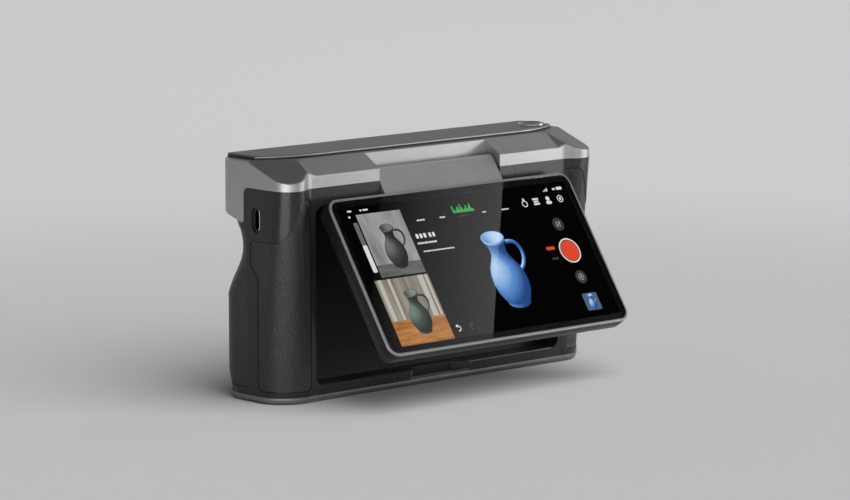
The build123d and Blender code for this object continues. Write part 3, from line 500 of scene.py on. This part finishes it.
lamp_count, lamp_pale, lamp_amber = 12.0, (0.78, 0.78, 0.74), (0.80, 0.62, 0.22)
ring_low, ring_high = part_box("light_ring")
lamp_white, lamp_tree, lamp_shader = plain("lamp_diffuser", (0.8, 0.8, 0.76), roughness=0.4)
lamp_place = place(lamp_tree, "TexCoord")
lamp_turn = place(lamp_tree, "Mapping", Location=(ring_low + ring_high) / 2, Rotation=(pi / 2, 0, 0))
lamp_turn.vector_type = "TEXTURE"
lamp_angle = place(lamp_tree, "TexGradient")
lamp_angle.gradient_type = "RADIAL"
lamp_share = place(lamp_tree, "Math")
lamp_share.operation = "MULTIPLY"
lamp_share.inputs[1].default_value = lamp_count
lamp_spot = place(lamp_tree, "Math")
lamp_spot.operation = "PINGPONG"
lamp_spot.inputs[1].default_value = 0.5
wire(
    lamp_tree,
    (lamp_place.outputs["Object"], lamp_turn.inputs["Vector"]),
    (lamp_turn.outputs["Vector"], lamp_angle.inputs["Vector"]),
    (lamp_angle.outputs["Fac"], lamp_share.inputs[0]),
    (lamp_share.outputs["Value"], lamp_spot.inputs[0]),
    (tint(lamp_tree, lamp_spot.outputs["Value"], lamp_pale, lamp_amber), lamp_shader.inputs["Base Color"]),
)
dress(lamp_white, "light_ring")

# Lenses: domed, coated glass in a grooved black ring, one in the mouth of each barrel.
# Ground and polished, with a thin coating that tints it toward its edge.
lens_glass, lens_tree, lens_shader = plain("lens_glass", (0.02, 0.02, 0.05), roughness=0.04)
shine(lens_glass, Coat_Weight=1.0)
lens_depth = place(lens_tree, "Attribute")
lens_depth.attribute_name = "reach"
lens_tint = place(lens_tree, "ValToRGB")
lens_tint.color_ramp.elements[0].color = (0.004, 0.003, 0.010, 1)
lens_tint.color_ramp.elements[1].color = (0.012, 0.012, 0.013, 1)
for reach, colour in (
    (0.22, (0.030, 0.010, 0.060)),
    (0.42, (0.006, 0.030, 0.045)),
    (0.60, (0.002, 0.002, 0.004)),
    (0.70, (0.060, 0.060, 0.062)),
    (0.78, (0.010, 0.010, 0.011)),
):
    lens_tint.color_ramp.elements.new(reach).color = (*colour, 1)
wire(
    lens_tree,
    (lens_depth.outputs["Fac"], lens_tint.inputs["Fac"]),
    (lens_tint.outputs["Color"], lens_shader.inputs["Base Color"]),
)
barrel_lip, lens_play = 1.0, 0.02
lens_share, groove_start, groove_end, ring_start = 0.62, 0.65, 0.72, 0.74
dome_rise, dome_edge, groove_floor = 0.4, 0.05, 0.6
cover_low, cover_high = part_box("lens_covers")
cover = (cover_high.y - cover_low.y) / mm
lenses = bmesh.new()
reach_layer = lenses.verts.layers.float_color.new("reach")
for name in barrels:
    barrel_low, barrel_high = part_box(name)
    middle = (barrel_low + barrel_high) / 2
    radius = (barrel_high.x - barrel_low.x) / 2 / mm - barrel_lip
    dome = bowl(lens_share * radius, cover + dome_rise, cover + dome_edge)
    groove = [(share * radius, groove_floor) for share in (groove_start, groove_end)]
    groove.append((ring_start * radius, cover))
    ring_edge = [(radius - lens_play, cover), (radius - lens_play, 0.0), (0.0, 0.0)]
    before = set(lenses.verts)
    mouth = Matrix.Translation((middle.x, cover_low.y, middle.z)) @ Matrix.Rotation(-pi / 2, 4, "X")
    turned(lenses, dome + groove + ring_edge, mouth)
    for vert in set(lenses.verts) - before:
        away = Vector((vert.co.x - middle.x, vert.co.z - middle.z)).length / (radius * mm)
        vert[reach_layer] = (away, away, away, 1)
polish(lenses)
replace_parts(keep("lenses", lenses, lens_glass, "body"), "lens_covers")

# Electronics: boards, chips, battery and leads inside the body.
# They show only when the scanner is taken apart.
mask_deep, mask_pale = (0.010, 0.060, 0.030), (0.014, 0.075, 0.040)
board_green = blasted("solder_mask", mask_deep, mask_pale, roughness=0.35, grain=0.5 * mm)
dress(board_green, "main_board", "usb_board", "power_board", "driver_board", "scan_switch")
chip_black = blasted("chip_black", grey(0.012), grey(0.018), roughness=0.6, strength=0.2)
dress(chip_black, "board_chips")
battery_wrap = blasted("battery_wrap", grey(0.04), grey(0.05), roughness=0.4, grain=0.6 * mm, strength=0.15)
dress(battery_wrap, "battery_pack")
lead_rubber = blasted("lead_rubber", grey(0.01), grey(0.014), roughness=0.55)
dress(lead_rubber, "board_lead", "screen_lead")

# Small steel pieces: the screws, and the hinge's brackets, shaft, collars, discs and nuts.
# Turned or pressed from steel and nickel plated.
steel = blasted(
    "nickel_plate", grey(0.42), grey(0.50), roughness=0.26, metallic=1.0, grain=0.12 * mm, strength=0.08
)
dress(
    steel,
    "hinge_bracket_left", "hinge_bracket_right", "hinge_shaft", "hinge_collars", "friction_discs",
    "shaft_nuts", "base_screws", "housing_screws", "board_screws", "side_board_screws", "bracket_screws",
    "optics_screws", "tab_screws",
)

# Inlet: the drawn steel shell of the connector, soldered to its board in the left side.
# Its wall on one side is painted pale as a highlight, and the rest of the shell is painted near black as the
# slot's shade.
inlet_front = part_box("usb_port")[0].y
bright_from, bright_to = inlet_front + 0.95 * mm, inlet_front + 0.75 * mm
inlet_shade_and_highlight, inlet_tree, inlet_shader = plain("inlet_shell", grey(0.03), roughness=0.3, metallic=1.0)
# Painted highlight on one side of the shell, painted shade on the rest.
inlet_painted_highlight = tint(inlet_tree, along(inlet_tree, "Y", bright_from, bright_to), grey(0.012), grey(0.85))
inlet_tree.links.new(inlet_painted_highlight, inlet_shader.inputs["Base Color"])
dress(inlet_shade_and_highlight, "usb_port")

# Hinge tab: the plain plate between the hinge's shaft and the top of the screen.
# Cut from an aluminium extrusion, blasted and anodised, with its edges broken.
tab_grey = blasted("tab_anodised", grey(0.37), grey(0.41), roughness=0.42, metallic=0.7, grain=0.16 * mm)
screen_joint = next(joint for joint in frame["joints"] if joint["name"] == "screen_hinge")
screen_tilt = radians(-screen_joint["range_deg"][0])
hinge_place = Vector(screen_joint["pos_m"])
tab_half, tab_radius, tab_length, tab_rounding = 36.1, 3.0, 12.4, 0.3 * mm
tab_section = [(-tab_radius, -tab_length), (tab_radius, -tab_length)]
tab_section += [(tab_radius * cos(pi * step / 12), tab_radius * sin(pi * step / 12)) for step in range(13)]
tab_shape = bmesh.new()
tab_points = [tab_shape.verts.new((-tab_half * mm, y * mm, z * mm)) for y, z in tab_section]
pull(tab_shape, [tab_shape.faces.new(tab_points)], (2 * tab_half * mm, 0, 0))
tab_sharp = [edge for edge in tab_shape.edges if edge.calc_face_angle() > sharp_angle]
round_edges(tab_shape, tab_sharp, tab_rounding, 3)
bmesh.ops.transform(
    tab_shape,
    verts=tab_shape.verts,
    matrix=Matrix.Translation(hinge_place) @ Matrix.Rotation(-screen_tilt, 4, "X"),
)
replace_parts(keep("wide_tab", tab_shape, tab_grey, "screen"), "hinge_tab")

# Screen back: the dark tray that carries the display, moulded in the housings' plastic.
# The tab's tongue is screwed to it from inside.
dress(housing_plastic, "screen_back")

# Screen rim: the frame round the glass, anodised dark, with its front edge painted pale as a highlight.
# The painted highlight shows as a pale line round the glass.
glass_low, glass_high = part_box("cover_glass")
glass_middle, glass_turn, glass_half = (glass_low + glass_high) / 2, pi / 2 - screen_tilt, 0.4 * mm
bright_edge, bright_fade = 0.8 * mm, 0.24 * mm
rim_grey, rim_tree, rim_shader = plain("rim_painted_highlight", grey(0.06), roughness=0.42, metallic=0.7)
shine(rim_grey, Specular_IOR_Level=0.25)
rim_highlight_start = glass_half - bright_edge
# Painted highlight: the front of the rim is pale.
rim_highlight = along(rim_tree, "Z", rim_highlight_start, rim_highlight_start + bright_fade, middle=glass_middle, turn=glass_turn)
rim_tree.links.new(tint(rim_tree, rim_highlight, grey(0.030), grey(0.30)), rim_shader.inputs["Base Color"])
dress(rim_grey, "screen_rim")

# Microphone hole: a thin black disc on the left side of the rim, in place of a small drilled hole.
# The disc is painted shade, standing in for the dark inside of the hole.
hole_radius, hole_depth = 0.5 * mm, 0.06 * mm
hole_place = Vector((-73.75, -58.6, 34.1)) * mm
microphone_hole_shade = bmesh.new()
bmesh.ops.create_cone(
    microphone_hole_shade,
    cap_ends=True,
    segments=24,
    radius1=hole_radius,
    radius2=hole_radius,
    depth=hole_depth,
    matrix=Matrix.Translation(hole_place) @ Matrix.Rotation(pi / 2, 4, "Y"),
)
keep("microphone_hole_shade", microphone_hole_shade, pocket_black, "screen")

# Cover glass: chemically hardened glass over the whole front of the screen.
# Polished on both faces and glued into the rim.
clear_glass = plain("cover_glass", (1.0, 1.0, 1.0), roughness=0.0)[0]
shine(clear_glass, Transmission_Weight=1.0, IOR=1.5)
dress(clear_glass, "cover_glass")

# Display: the black panel under the glass, with a thin air gap in which its picture lies.
# Laminated glass and film, held by the tray.
screen_place = Matrix.Translation(glass_middle) @ Matrix.Rotation(glass_turn, 4, "X")
display_gap, panel_rounding = 0.25 * mm, 0.1 * mm
panel_low, panel_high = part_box("display_panel")
panel_size = (panel_high.x - panel_low.x, 68.0 * mm, 2.2 * mm - display_gap)


def screen_piece(name, shape, material, depth):
    """A piece built in the plane of the screen, set at a depth behind the glass."""
    behind = Matrix.Translation((0, 0, -glass_half - depth))
    bmesh.ops.transform(shape, verts=shape.verts, matrix=screen_place @ behind)
    return keep(name, shape, material, "screen")


panel_black = plain("panel_black", grey(0.0012), roughness=0.4)[0]
shine(panel_black, Specular_IOR_Level=0.0)
panel = bmesh.new()
bmesh.ops.create_cube(
    panel, size=1.0, matrix=Matrix.Translation((0, 0, -panel_size[2] / 2)) @ Matrix.Diagonal((*panel_size, 1))
)
round_edges(panel, panel.edges, panel_rounding, 2)
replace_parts(screen_piece("display_face", panel, panel_black, display_gap), "display_panel")

# Picture on the display: lit layers as thin as ink, in the gap between the panel and the glass.
# They glow by themselves, in fine rows of picture elements.
ink = 0.02 * mm
view_depth, mark_depth, glyph_depth = 0.19 * mm, 0.12 * mm, 0.06 * mm

lit_rows, rows_in, rows_out = new_group("lit_rows", ["Pitch"], ["Row"])
rows_place = place(lit_rows, "TexCoord")
rows_waves = place(lit_rows, "TexWave", Distortion=0.0)
rows_waves.bands_direction = "X"
wire(
    lit_rows,
    (rows_place.outputs["Object"], rows_waves.inputs["Vector"]),
    (rows_in.outputs["Pitch"], rows_waves.inputs["Scale"]),
    (rows_waves.outputs["Fac"], rows_out.inputs["Row"]),
)


def glowing(name):
    """A material that only glows, its node tree and the socket of its glow."""
    material, tree, shader = plain(name, (0, 0, 0), roughness=0.6)
    shine(material, Specular_IOR_Level=0.0, Emission_Strength=1.0)
    return material, tree, shader.inputs["Emission Color"]


def lit(name, colour):
    """Lit layer of the display in one colour, with rows a little darker between them."""
    row_pitch, between = 2400.0, 0.9
    material, tree, glow = glowing(name)
    rows = place(tree, "Group")
    rows.node_tree = lit_rows
    rows.inputs["Pitch"].default_value = row_pitch
    dim = tuple(between * part for part in colour)
    tree.links.new(tint(tree, rows.outputs["Row"], dim, colour), glow)
    return material


def at(u, v, width=1.0, height=1.0):
    """Place in the plane of the screen, in millimetres from its middle."""
    return Matrix.Translation((u * mm, v * mm, 0)) @ Matrix.Diagonal((width * mm, height * mm, mm, 1))


def bar(shape, u, v, width, height, corner=0.0):
    """A bar about a place, with round corners."""
    made = bmesh.ops.create_grid(shape, x_segments=1, y_segments=1, size=0.5, matrix=at(u, v, width, height))
    if corner:
        bmesh.ops.bevel(
            shape,
            geom=made["verts"],
            offset=corner * mm,
            segments=5,
            profile=0.5,
            affect="VERTICES",
            material=-1,
        )


def disc(shape, u, v, radius, segments=48):
    """A round face about a place."""
    return bmesh.ops.create_circle(shape, cap_ends=True, segments=segments, radius=radius, matrix=at(u, v))


def ring(shape, u, v, outer, width):
    """A round band about a place."""
    face = disc(shape, u, v, outer)["verts"][0].link_faces[0]
    bmesh.ops.inset_individual(shape, faces=[face], thickness=width * mm)
    bmesh.ops.delete(shape, geom=[face], context="FACES")


def arrow(shape, u, v, size, side):
    """Curved arrow, for a step back or forward."""
    bow, width, stub = 0.35 * size, 0.14 * size, 0.02
    shaft_start, tip_place, tip_size = side * 0.1 * size, side * 0.12 * size, 0.3 * size
    sweep, tip_turn, steps = radians(190), radians(90), 14
    start = bmesh.ops.create_grid(
        shape, x_segments=1, y_segments=1, size=0.5, matrix=at(u + shaft_start, v + bow, stub, width)
    )["verts"]
    rim = [edge for vert in start for edge in vert.link_edges]
    outer = max(rim, key=lambda edge: side * sum(vert.co.x for vert in edge.verts))
    bmesh.ops.spin(
        shape,
        geom=[outer, *outer.verts],
        cent=(u * mm, v * mm, 0),
        axis=(0, 0, 1),
        angle=-side * sweep,
        steps=steps,
    )
    tip = disc(shape, u - tip_place, v + bow, tip_size, 3)["verts"]
    bmesh.ops.rotate(
        shape,
        verts=tip,
        cent=((u - tip_place) * mm, (v + bow) * mm, 0),
        matrix=Matrix.Rotation(side * tip_turn, 3, "Z"),
    )


def layer(name, shape, material, depth):
    """A lit layer from flat faces."""
    bmesh.ops.solidify(shape, geom=shape.faces[:], thickness=ink)
    bmesh.ops.recalc_face_normals(shape, faces=shape.faces)
    return screen_piece(name, shape, material, depth)


def patch(name, material, depth, *bars):
    """A lit layer made of bars."""
    shape = bmesh.new()
    for sizes in bars:
        bar(shape, *sizes)
    return layer(name, shape, material, depth)


def row(shape, u, v, height, lengths):
    """A row of short bars, as a line of print looks from far away."""
    rounding, space = 0.25 * height, 0.35 * height
    for length in lengths:
        bar(shape, u + length / 2, v, length, height, rounding)
        u += length + space


# In white: the status line, tool icons, rows of print, shutter ring and step-back arrow.
# A hairline parts the two groups of the large row.
hairline = 0.0001
white_marks = bmesh.new()
for u, v, height, lengths in (
    (-31.2, 16.2, 2.3, (1.5, 1.5, 1.5, hairline, 1.4, 1.4)),
    (-31.8, 12.7, 0.9, (0.8, 1.4, 0.9, 1.6, 0.8, 1.2, 0.9, 1.5)),
    (-30.4, 8.6, 0.6, (1.1, 0.8, 1.9, 0.7, 1.4, 1.0, 1.8, 0.8, 1.3, 1.0, 1.7, 0.9, 1.5)),
    (-26.8, 23.7, 0.7, (1.6, 1.2, 1.4)),
    (-13.0, 23.7, 0.7, (1.3, 1.6)),
    (13.3, 23.7, 0.7, (0.8, 1.0)),
    (25.2, 23.7, 0.7, (1.4, 1.6, 0.9)),
):
    row(white_marks, u, v, height, lengths)
for u, v, width, height in (
    (-62.8, 32.0, 2.4, 0.8),
    (-56.2, 31.9, 1.2, 0.8),
    (-53.4, 31.9, 3.0, 0.8),
    (-64.0, 29.2, 1.2, 0.9),
    (65.0, 30.6, 3.6, 1.5),
    (61.6, 30.5, 1.6, 1.0),
    (55.0, 30.0, 0.5, 0.5),
    (55.8, 30.2, 0.5, 0.9),
    (56.6, 30.4, 0.5, 1.3),
    (57.4, 30.6, 0.5, 1.7),
):
    bar(white_marks, u, v, width, height, min(width, height) * 0.3)
for v, width in ((26.7, 3.8), (25.45, 3.0), (24.2, 3.8)):
    bar(white_marks, 47.8, v, width, 0.9, 0.3)
ring(white_marks, 40.5, 25.0, 1.7, 0.5)
bar(white_marks, 40.5, 27.2, 1.0, 1.2, 0.3)
disc(white_marks, 55.5, 26.2, 1.15)
bar(white_marks, 55.5, 24.2, 3.4, 1.6, 0.7)
ring(white_marks, 63.1, 25.4, 1.8, 0.45)
disc(white_marks, 63.1, 25.4, 0.7)
ring(white_marks, 55.3, -0.5, 6.2, 0.7)
arrow(white_marks, -29.2, -29.6, 3.4, 1)
white_lit = lit("lit_white", (0.80, 0.80, 0.80))
layer("white_marks", white_marks, white_lit, mark_depth)

# In dim grey: the round keys above and below the shutter, a tag, a row of print and the step-forward arrow.
# Paler glyphs lie on the keys.
dim_marks = bmesh.new()
row(dim_marks, -1.6, 23.2, 0.7, (1.4, 1.0, 1.6, 0.9))
bar(dim_marks, 44.7, -3.4, 4.1, 1.2, 0.35)
arrow(dim_marks, -21.0, -29.6, 3.4, -1)
disc(dim_marks, 55.2, 13.0, 3.3)
disc(dim_marks, 55.1, -14.0, 3.3)
layer("dim_marks", dim_marks, lit("lit_dim", (0.045, 0.045, 0.048)), mark_depth)
button_glyphs = bmesh.new()
for side in (-1, 1):
    bar(button_glyphs, 55.2 + side * 0.8, 13.0, 0.5, 3.0, 0.2)
    disc(button_glyphs, 55.2 + side * 0.8, 13.0 + side * 0.6, 0.62)
ring(button_glyphs, 55.1, -14.0, 1.7, 0.4)
bar(button_glyphs, 55.1, -14.0, 1.3, 1.3, 0.2)
layer("button_glyphs", button_glyphs, lit("lit_glyph", (0.35, 0.35, 0.36)), glyph_depth)

# In red: the shutter and a tag. In green: the histogram of the exposure.
red_marks = bmesh.new()
disc(red_marks, 55.3, -0.5, 5.2)
bar(red_marks, 44.2, 1.8, 5.1, 1.6, 0.4)
layer("red_marks", red_marks, lit("lit_red", (0.82, 0.075, 0.035)), mark_depth)
histogram = (3.6, 1.6, 0.9, 2.3, 3.0, 1.5, 4.0, 2.4, 1.2, 1.8, 3.2, 1.4, 2.6, 3.8, 1.7, 1.1)
histogram_left, histogram_foot, histogram_pitch, histogram_bar = -3.6, 24.9, 0.82, 0.6
green_marks = bmesh.new()
for step, height in enumerate(histogram):
    u, v = histogram_left + histogram_pitch * step, histogram_foot + height / 2
    bar(green_marks, u, v, histogram_bar, height)
layer("green_marks", green_marks, lit("lit_green", (0.05, 0.55, 0.12)), mark_depth)

# Camera views on the display: the far camera's grey picture above, the colour camera's below.
# Both show a plain jug on a table.
jug_profile = (
    (0.00, 0.00), (0.16, 0.00), (0.185, 0.015), (0.18, 0.04), (0.22, 0.10), (0.265, 0.20), (0.285, 0.32),
    (0.275, 0.43), (0.24, 0.54), (0.18, 0.64), (0.14, 0.72), (0.128, 0.80), (0.145, 0.89), (0.18, 0.96),
    (0.19, 1.00), (0.165, 1.00), (0.11, 0.90), (0.00, 0.87),
)
jug_tilt, jug_turn, jug_flat, jug_middle = radians(-62), radians(28), 0.0012, 0.5
jug_light = Vector((-0.45, 0.55, 0.70)).normalized()
handle_radius, handle_place, handle_top, handle_middle = 0.028, 0.2, 0.86, 0.63
handle_sweep, jug_seam = radians(175), 0.0005


def jug(name, u, v, height, material, depth):
    """A jug with one handle, pressed flat, with its light and shade kept as a colour."""
    shape = bmesh.new()
    points = [shape.verts.new((r, 0, z)) for r, z in jug_profile]
    lines = [shape.edges.new(pair) for pair in zip(points, points[1:])]
    bmesh.ops.spin(
        shape, geom=points + lines, cent=(0, 0, 0), axis=(0, 0, 1), angle=2 * pi, steps=56, use_merge=True
    )
    handle = bmesh.ops.create_circle(
        shape,
        segments=12,
        radius=handle_radius,
        matrix=Matrix.Translation((handle_place, 0, handle_top)) @ Matrix.Rotation(pi / 2, 4, "Y"),
    )["verts"]
    bmesh.ops.spin(
        shape,
        geom=handle + list({edge for vert in handle for edge in vert.link_edges}),
        cent=(handle_place, 0, handle_middle),
        axis=(0, 1, 0),
        angle=handle_sweep,
        steps=22,
    )
    bmesh.ops.remove_doubles(shape, verts=shape.verts, dist=jug_seam)
    bmesh.ops.recalc_face_normals(shape, faces=shape.faces)
    bmesh.ops.rotate(
        shape,
        verts=shape.verts,
        cent=(0, 0, jug_middle),
        matrix=Matrix.Rotation(jug_tilt, 3, "X") @ Matrix.Rotation(jug_turn, 3, "Z"),
    )
    shape.normal_update()
    shade = shape.verts.layers.float_color.new("shade")
    for vert in shape.verts:
        light = max(0.0, vert.normal.dot(jug_light))
        vert[shade] = (light, light, light, 1)
    size = height * mm
    bmesh.ops.transform(
        shape,
        verts=shape.verts,
        matrix=Matrix.Translation((u * mm, v * mm, 0))
        @ Matrix.Diagonal((size, size, size * jug_flat, 1))
        @ Matrix.Translation((0, 0, -jug_middle)),
    )
    return screen_piece(name, shape, material, depth)


def lit_shade(name, dark, middle, pale):
    """Lit layer whose tone follows the light and shade kept in the mesh."""
    material, tree, glow = glowing(name)
    kept = place(tree, "Attribute")
    kept.attribute_name = "shade"
    ramp = place(tree, "ValToRGB")
    ramp.color_ramp.elements[0].color = (*dark, 1)
    ramp.color_ramp.elements[1].color = (*pale, 1)
    ramp.color_ramp.elements.new(0.5).color = (*middle, 1)
    wire(tree, (kept.outputs["Fac"], ramp.inputs["Fac"]), (ramp.outputs["Color"], glow))
    return material


def lit_drift(name, low, high, scale):
    """Lit layer with a soft cloud of two colours, stretched along one way."""
    material, tree, glow = glowing(name)
    origin = place(tree, "TexCoord")
    stretched = place(tree, "Mapping", Scale=scale)
    cloud = place(tree, "TexNoise", Scale=1.0, Detail=4.0, Roughness=0.6)
    wire(
        tree,
        (origin.outputs["Object"], stretched.inputs["Vector"]),
        (stretched.outputs["Vector"], cloud.inputs["Vector"]),
        (tint(tree, cloud.outputs["Fac"], low, high), glow),
    )
    return material


grey_wall = lit_drift("lit_grey_wall", grey(0.20), grey(0.42), (90, 30, 30))
grey_table = lit_drift("lit_grey_table", grey(0.08), grey(0.16), (60, 300, 300))
grey_jug = lit_shade("lit_grey_jug", grey(0.012), grey(0.05), grey(0.20))
wall = lit_drift("lit_wall", (0.16, 0.14, 0.11), (0.34, 0.31, 0.26), (220, 20, 20))
table = lit_drift("lit_table", (0.30, 0.11, 0.025), (0.55, 0.24, 0.07), (60, 420, 420))
green_jug = lit_shade("lit_green_jug", (0.012, 0.02, 0.016), (0.05, 0.075, 0.06), (0.22, 0.27, 0.23))
patch("grey_view", grey_wall, view_depth, (-47.0, 17.5, 26.0, 25.0))
patch("grey_table", grey_table, view_depth, (-47.0, 2.0, 26.0, 6.0))
jug("grey_jug", -46.0, 13.0, 21.0, grey_jug, mark_depth)
patch("colour_view", wall, view_depth, (-49.3, -12.0, 31.4, 20.0))
patch("table_view", table, view_depth, (-49.3, -28.0, 31.4, 12.0))
jug("green_jug", -48.0, -19.0, 21.0, green_jug, mark_depth)
posts = [(u, -12.0, width, 20.0) for u, width in ((-62.5, 2.4), (-57.0, 1.6), (-38.5, 3.0), (-35.2, 1.4))]
patch("shutter_posts", lit("lit_posts", (0.55, 0.52, 0.47)), view_depth - 2 * ink, *posts)
patch("slider", white_lit, glyph_depth, (-62.2, 8.5, 2.5, 13.4, 0.6))
patch("slider_track", lit("lit_track", grey(0.16)), mark_depth, (-62.2, 20.8, 2.5, 11.0, 0.6))

# Scan on the display: the jug as the scanner sees it, as a blue model.
# A small copy lies on the key of the gallery.
blue = lit_shade("lit_blue_model", (0.020, 0.070, 0.24), (0.11, 0.29, 0.66), (0.55, 0.75, 0.97))
jug("blue_jug", 12.5, -5.5, 37.0, blue, mark_depth)
patch("thumbnail", lit("lit_thumbnail", (0.10, 0.14, 0.24)), view_depth, (55.3, -26.5, 9.0, 8.5, 0.8))
jug("small_jug", 55.3, -26.6, 7.6, blue, mark_depth)

# Studio: a pale seamless floor in a dim room that is pale along the horizon.
# A broad light stands above, and soft boxes give the gloss of the edges.
# The camera stands where the photograph was taken from.
photo_width, focal_pixels = 850, 4095.8
camera_azimuth, camera_elevation = -42.92, 8.41
lens_data = bpy.data.cameras.new("photo_camera")
lens_data.sensor_width = 36.0
lens_data.lens = focal_pixels / photo_width * lens_data.sensor_width
camera = bpy.data.objects.new("photo_camera", lens_data)
camera.location = (-1.2431, -1.3471, 0.3288)
camera.rotation_euler = (radians(90 - camera_elevation), 0, radians(camera_azimuth))
bpy.context.scene.collection.objects.link(camera)
bpy.context.scene.camera = camera
bpy.context.scene.view_settings.view_transform = "Standard"


def stage_piece(name, shape, material):
    """A finished piece of the studio."""
    piece = finished(name, shape, material)
    return piece


floor_radius, floor_drop = 14.0, 0.05 * mm
floor_near, floor_far = -0.2, 1.2
floor_shape = bmesh.new()
bmesh.ops.create_circle(
    floor_shape,
    cap_ends=True,
    segments=96,
    radius=floor_radius,
    matrix=Matrix.Translation((0, 0, -floor_drop)),
)
floor_paper, floor_tree, floor_shader = plain("floor_paper", grey(0.5), roughness=0.7)
shine(floor_paper, Specular_IOR_Level=0.0)
floor_place = place(floor_tree, "TexCoord")
floor_away = place(floor_tree, "VectorMath")
floor_away.operation = "LENGTH"
floor_span = place(floor_tree, "MapRange", From_Min=floor_near, From_Max=floor_far)
floor_tone = tint(floor_tree, floor_span.outputs["Result"], grey(0.65), grey(0.755))
floor_tone.node.color_ramp.interpolation = "EASE"
wire(
    floor_tree,
    (floor_place.outputs["Object"], floor_away.inputs[0]),
    (floor_away.outputs["Value"], floor_span.inputs["Value"]),
    (floor_tone, floor_shader.inputs["Base Color"]),
)
stage_piece("floor", floor_shape, floor_paper)

horizon_height, horizon_pale = 0.14, (0.62, 0.62, 0.625, 1)
dim_height, dim_room = 0.56, (0.01, 0.01, 0.01, 1)
room = bpy.data.worlds.new("studio_room")
room.use_nodes = True
room_tree = room.node_tree
room_place = place(room_tree, "TexCoord")
room_axes = place(room_tree, "SeparateXYZ")
room_ramp = place(room_tree, "ValToRGB")
room_low, room_high = room_ramp.color_ramp.elements
room_low.position, room_low.color = horizon_height, horizon_pale
room_high.position, room_high.color = dim_height, dim_room
wire(
    room_tree,
    (room_place.outputs["Generated"], room_axes.inputs["Vector"]),
    (room_axes.outputs["Z"], room_ramp.inputs["Fac"]),
    (room_ramp.outputs["Color"], room_tree.nodes["Background"].inputs["Color"]),
)
bpy.context.scene.world = room

scanner_middle = Vector((0, 0, 0.055))
column_edge = Vector((-0.09, -0.022, 0.075))
band_end = Vector((0.06, -0.024, 0.07))


def toward(azimuth, elevation):
    """A direction, where azimuth 0 is in front of the screen and 90 to its right."""
    a, e = radians(azimuth), radians(elevation)
    return Vector((sin(a) * cos(e), -cos(a) * cos(e), sin(e)))


def soft_box(name, azimuth, elevation, distance, width, height, power, aim):
    """An area light that faces a place on the scanner."""
    away = toward(azimuth, elevation)
    data = bpy.data.lights.new(name, "AREA")
    data.shape = "RECTANGLE"
    data.size, data.size_y = width, height
    data.energy = power
    lamp = bpy.data.objects.new(name, data)
    lamp.location = aim + away * distance
    lamp.rotation_euler = away.to_track_quat("Z", "Y").to_euler()
    lamp.visible_camera = False
    bpy.context.scene.collection.objects.link(lamp)
    return lamp


key_data = bpy.data.lights.new("key_light", "SUN")
key_data.energy = 2.8
key_data.angle = radians(75)
key_light = bpy.data.objects.new("key_light", key_data)
key_light.rotation_euler = toward(12, 48).to_track_quat("Z", "Y").to_euler()
key_light.visible_glossy = False
key_light.visible_transmission = False
bpy.context.scene.collection.objects.link(key_light)
soft_box("right_card", 97, 44, 2.6, 0.8, 0.8, 3.0, scanner_middle)
for box in (
    ("front_right_box", 57, 8, 1.2, 0.5, 0.4, 3.6, scanner_middle),
    ("front_left_box", -7, 6, 1.5, 0.4, 0.3, 1.5, scanner_middle),
    ("corner_box", -52, 0, 0.25, 0.25, 0.15, 0.44, column_edge),
    ("far_side_box", 185, 30, 1.6, 0.9, 0.6, 2.5, scanner_middle),
    ("band_box", 44, 0, 0.25, 0.12, 0.06, 0.06, band_end),
):
    soft_box(*box).visible_diffuse = False

# Graded reflector: a pale cloth that the glass mirrors.
# Its straight edge crosses the screen, and its brightness falls off to the left.
reflector_distance, reflector_reach, reflector_glow = 2.6, Vector((75.0, 0)), 0.55
edge_low, edge_high, edge_stretch = Vector((-12.6, -36.8)), Vector((32.4, 36.2)), 0.35
edge_level, far_level = 1.0, 0.05
glass_normal = screen_place.to_3x3() @ Vector((0, 0, 1))


def mirrored_point(u, v):
    """Point that the camera sees in the glass at a place of the screen."""
    spot = screen_place @ Vector((u * mm, v * mm, glass_half))
    sight = (spot - camera.location).normalized()
    return spot + sight.reflect(glass_normal) * reflector_distance


low = edge_low - edge_stretch * (edge_high - edge_low)
high = edge_high + edge_stretch * (edge_high - edge_low)
reflector = bmesh.new()
bright = reflector.verts.layers.float_color.new("bright")
cloth_corners = []
for spot, level in (
    (low, edge_level),
    (high, edge_level),
    (high - reflector_reach, far_level),
    (low - reflector_reach, far_level),
):
    corner = reflector.verts.new(mirrored_point(*spot))
    corner[bright] = (level, level, level, 1)
    cloth_corners.append(corner)
reflector.faces.new(cloth_corners)
reflector_cloth, reflector_tree, reflector_shader = plain("reflector_cloth", (0, 0, 0), roughness=0.9)
shine(reflector_cloth, Emission_Strength=reflector_glow)
reflector_level = place(reflector_tree, "Attribute")
reflector_level.attribute_name = "bright"
reflector_tree.links.new(reflector_level.outputs["Color"], reflector_shader.inputs["Emission Color"])
stage_piece("reflector", reflector, reflector_cloth).visible_camera = False
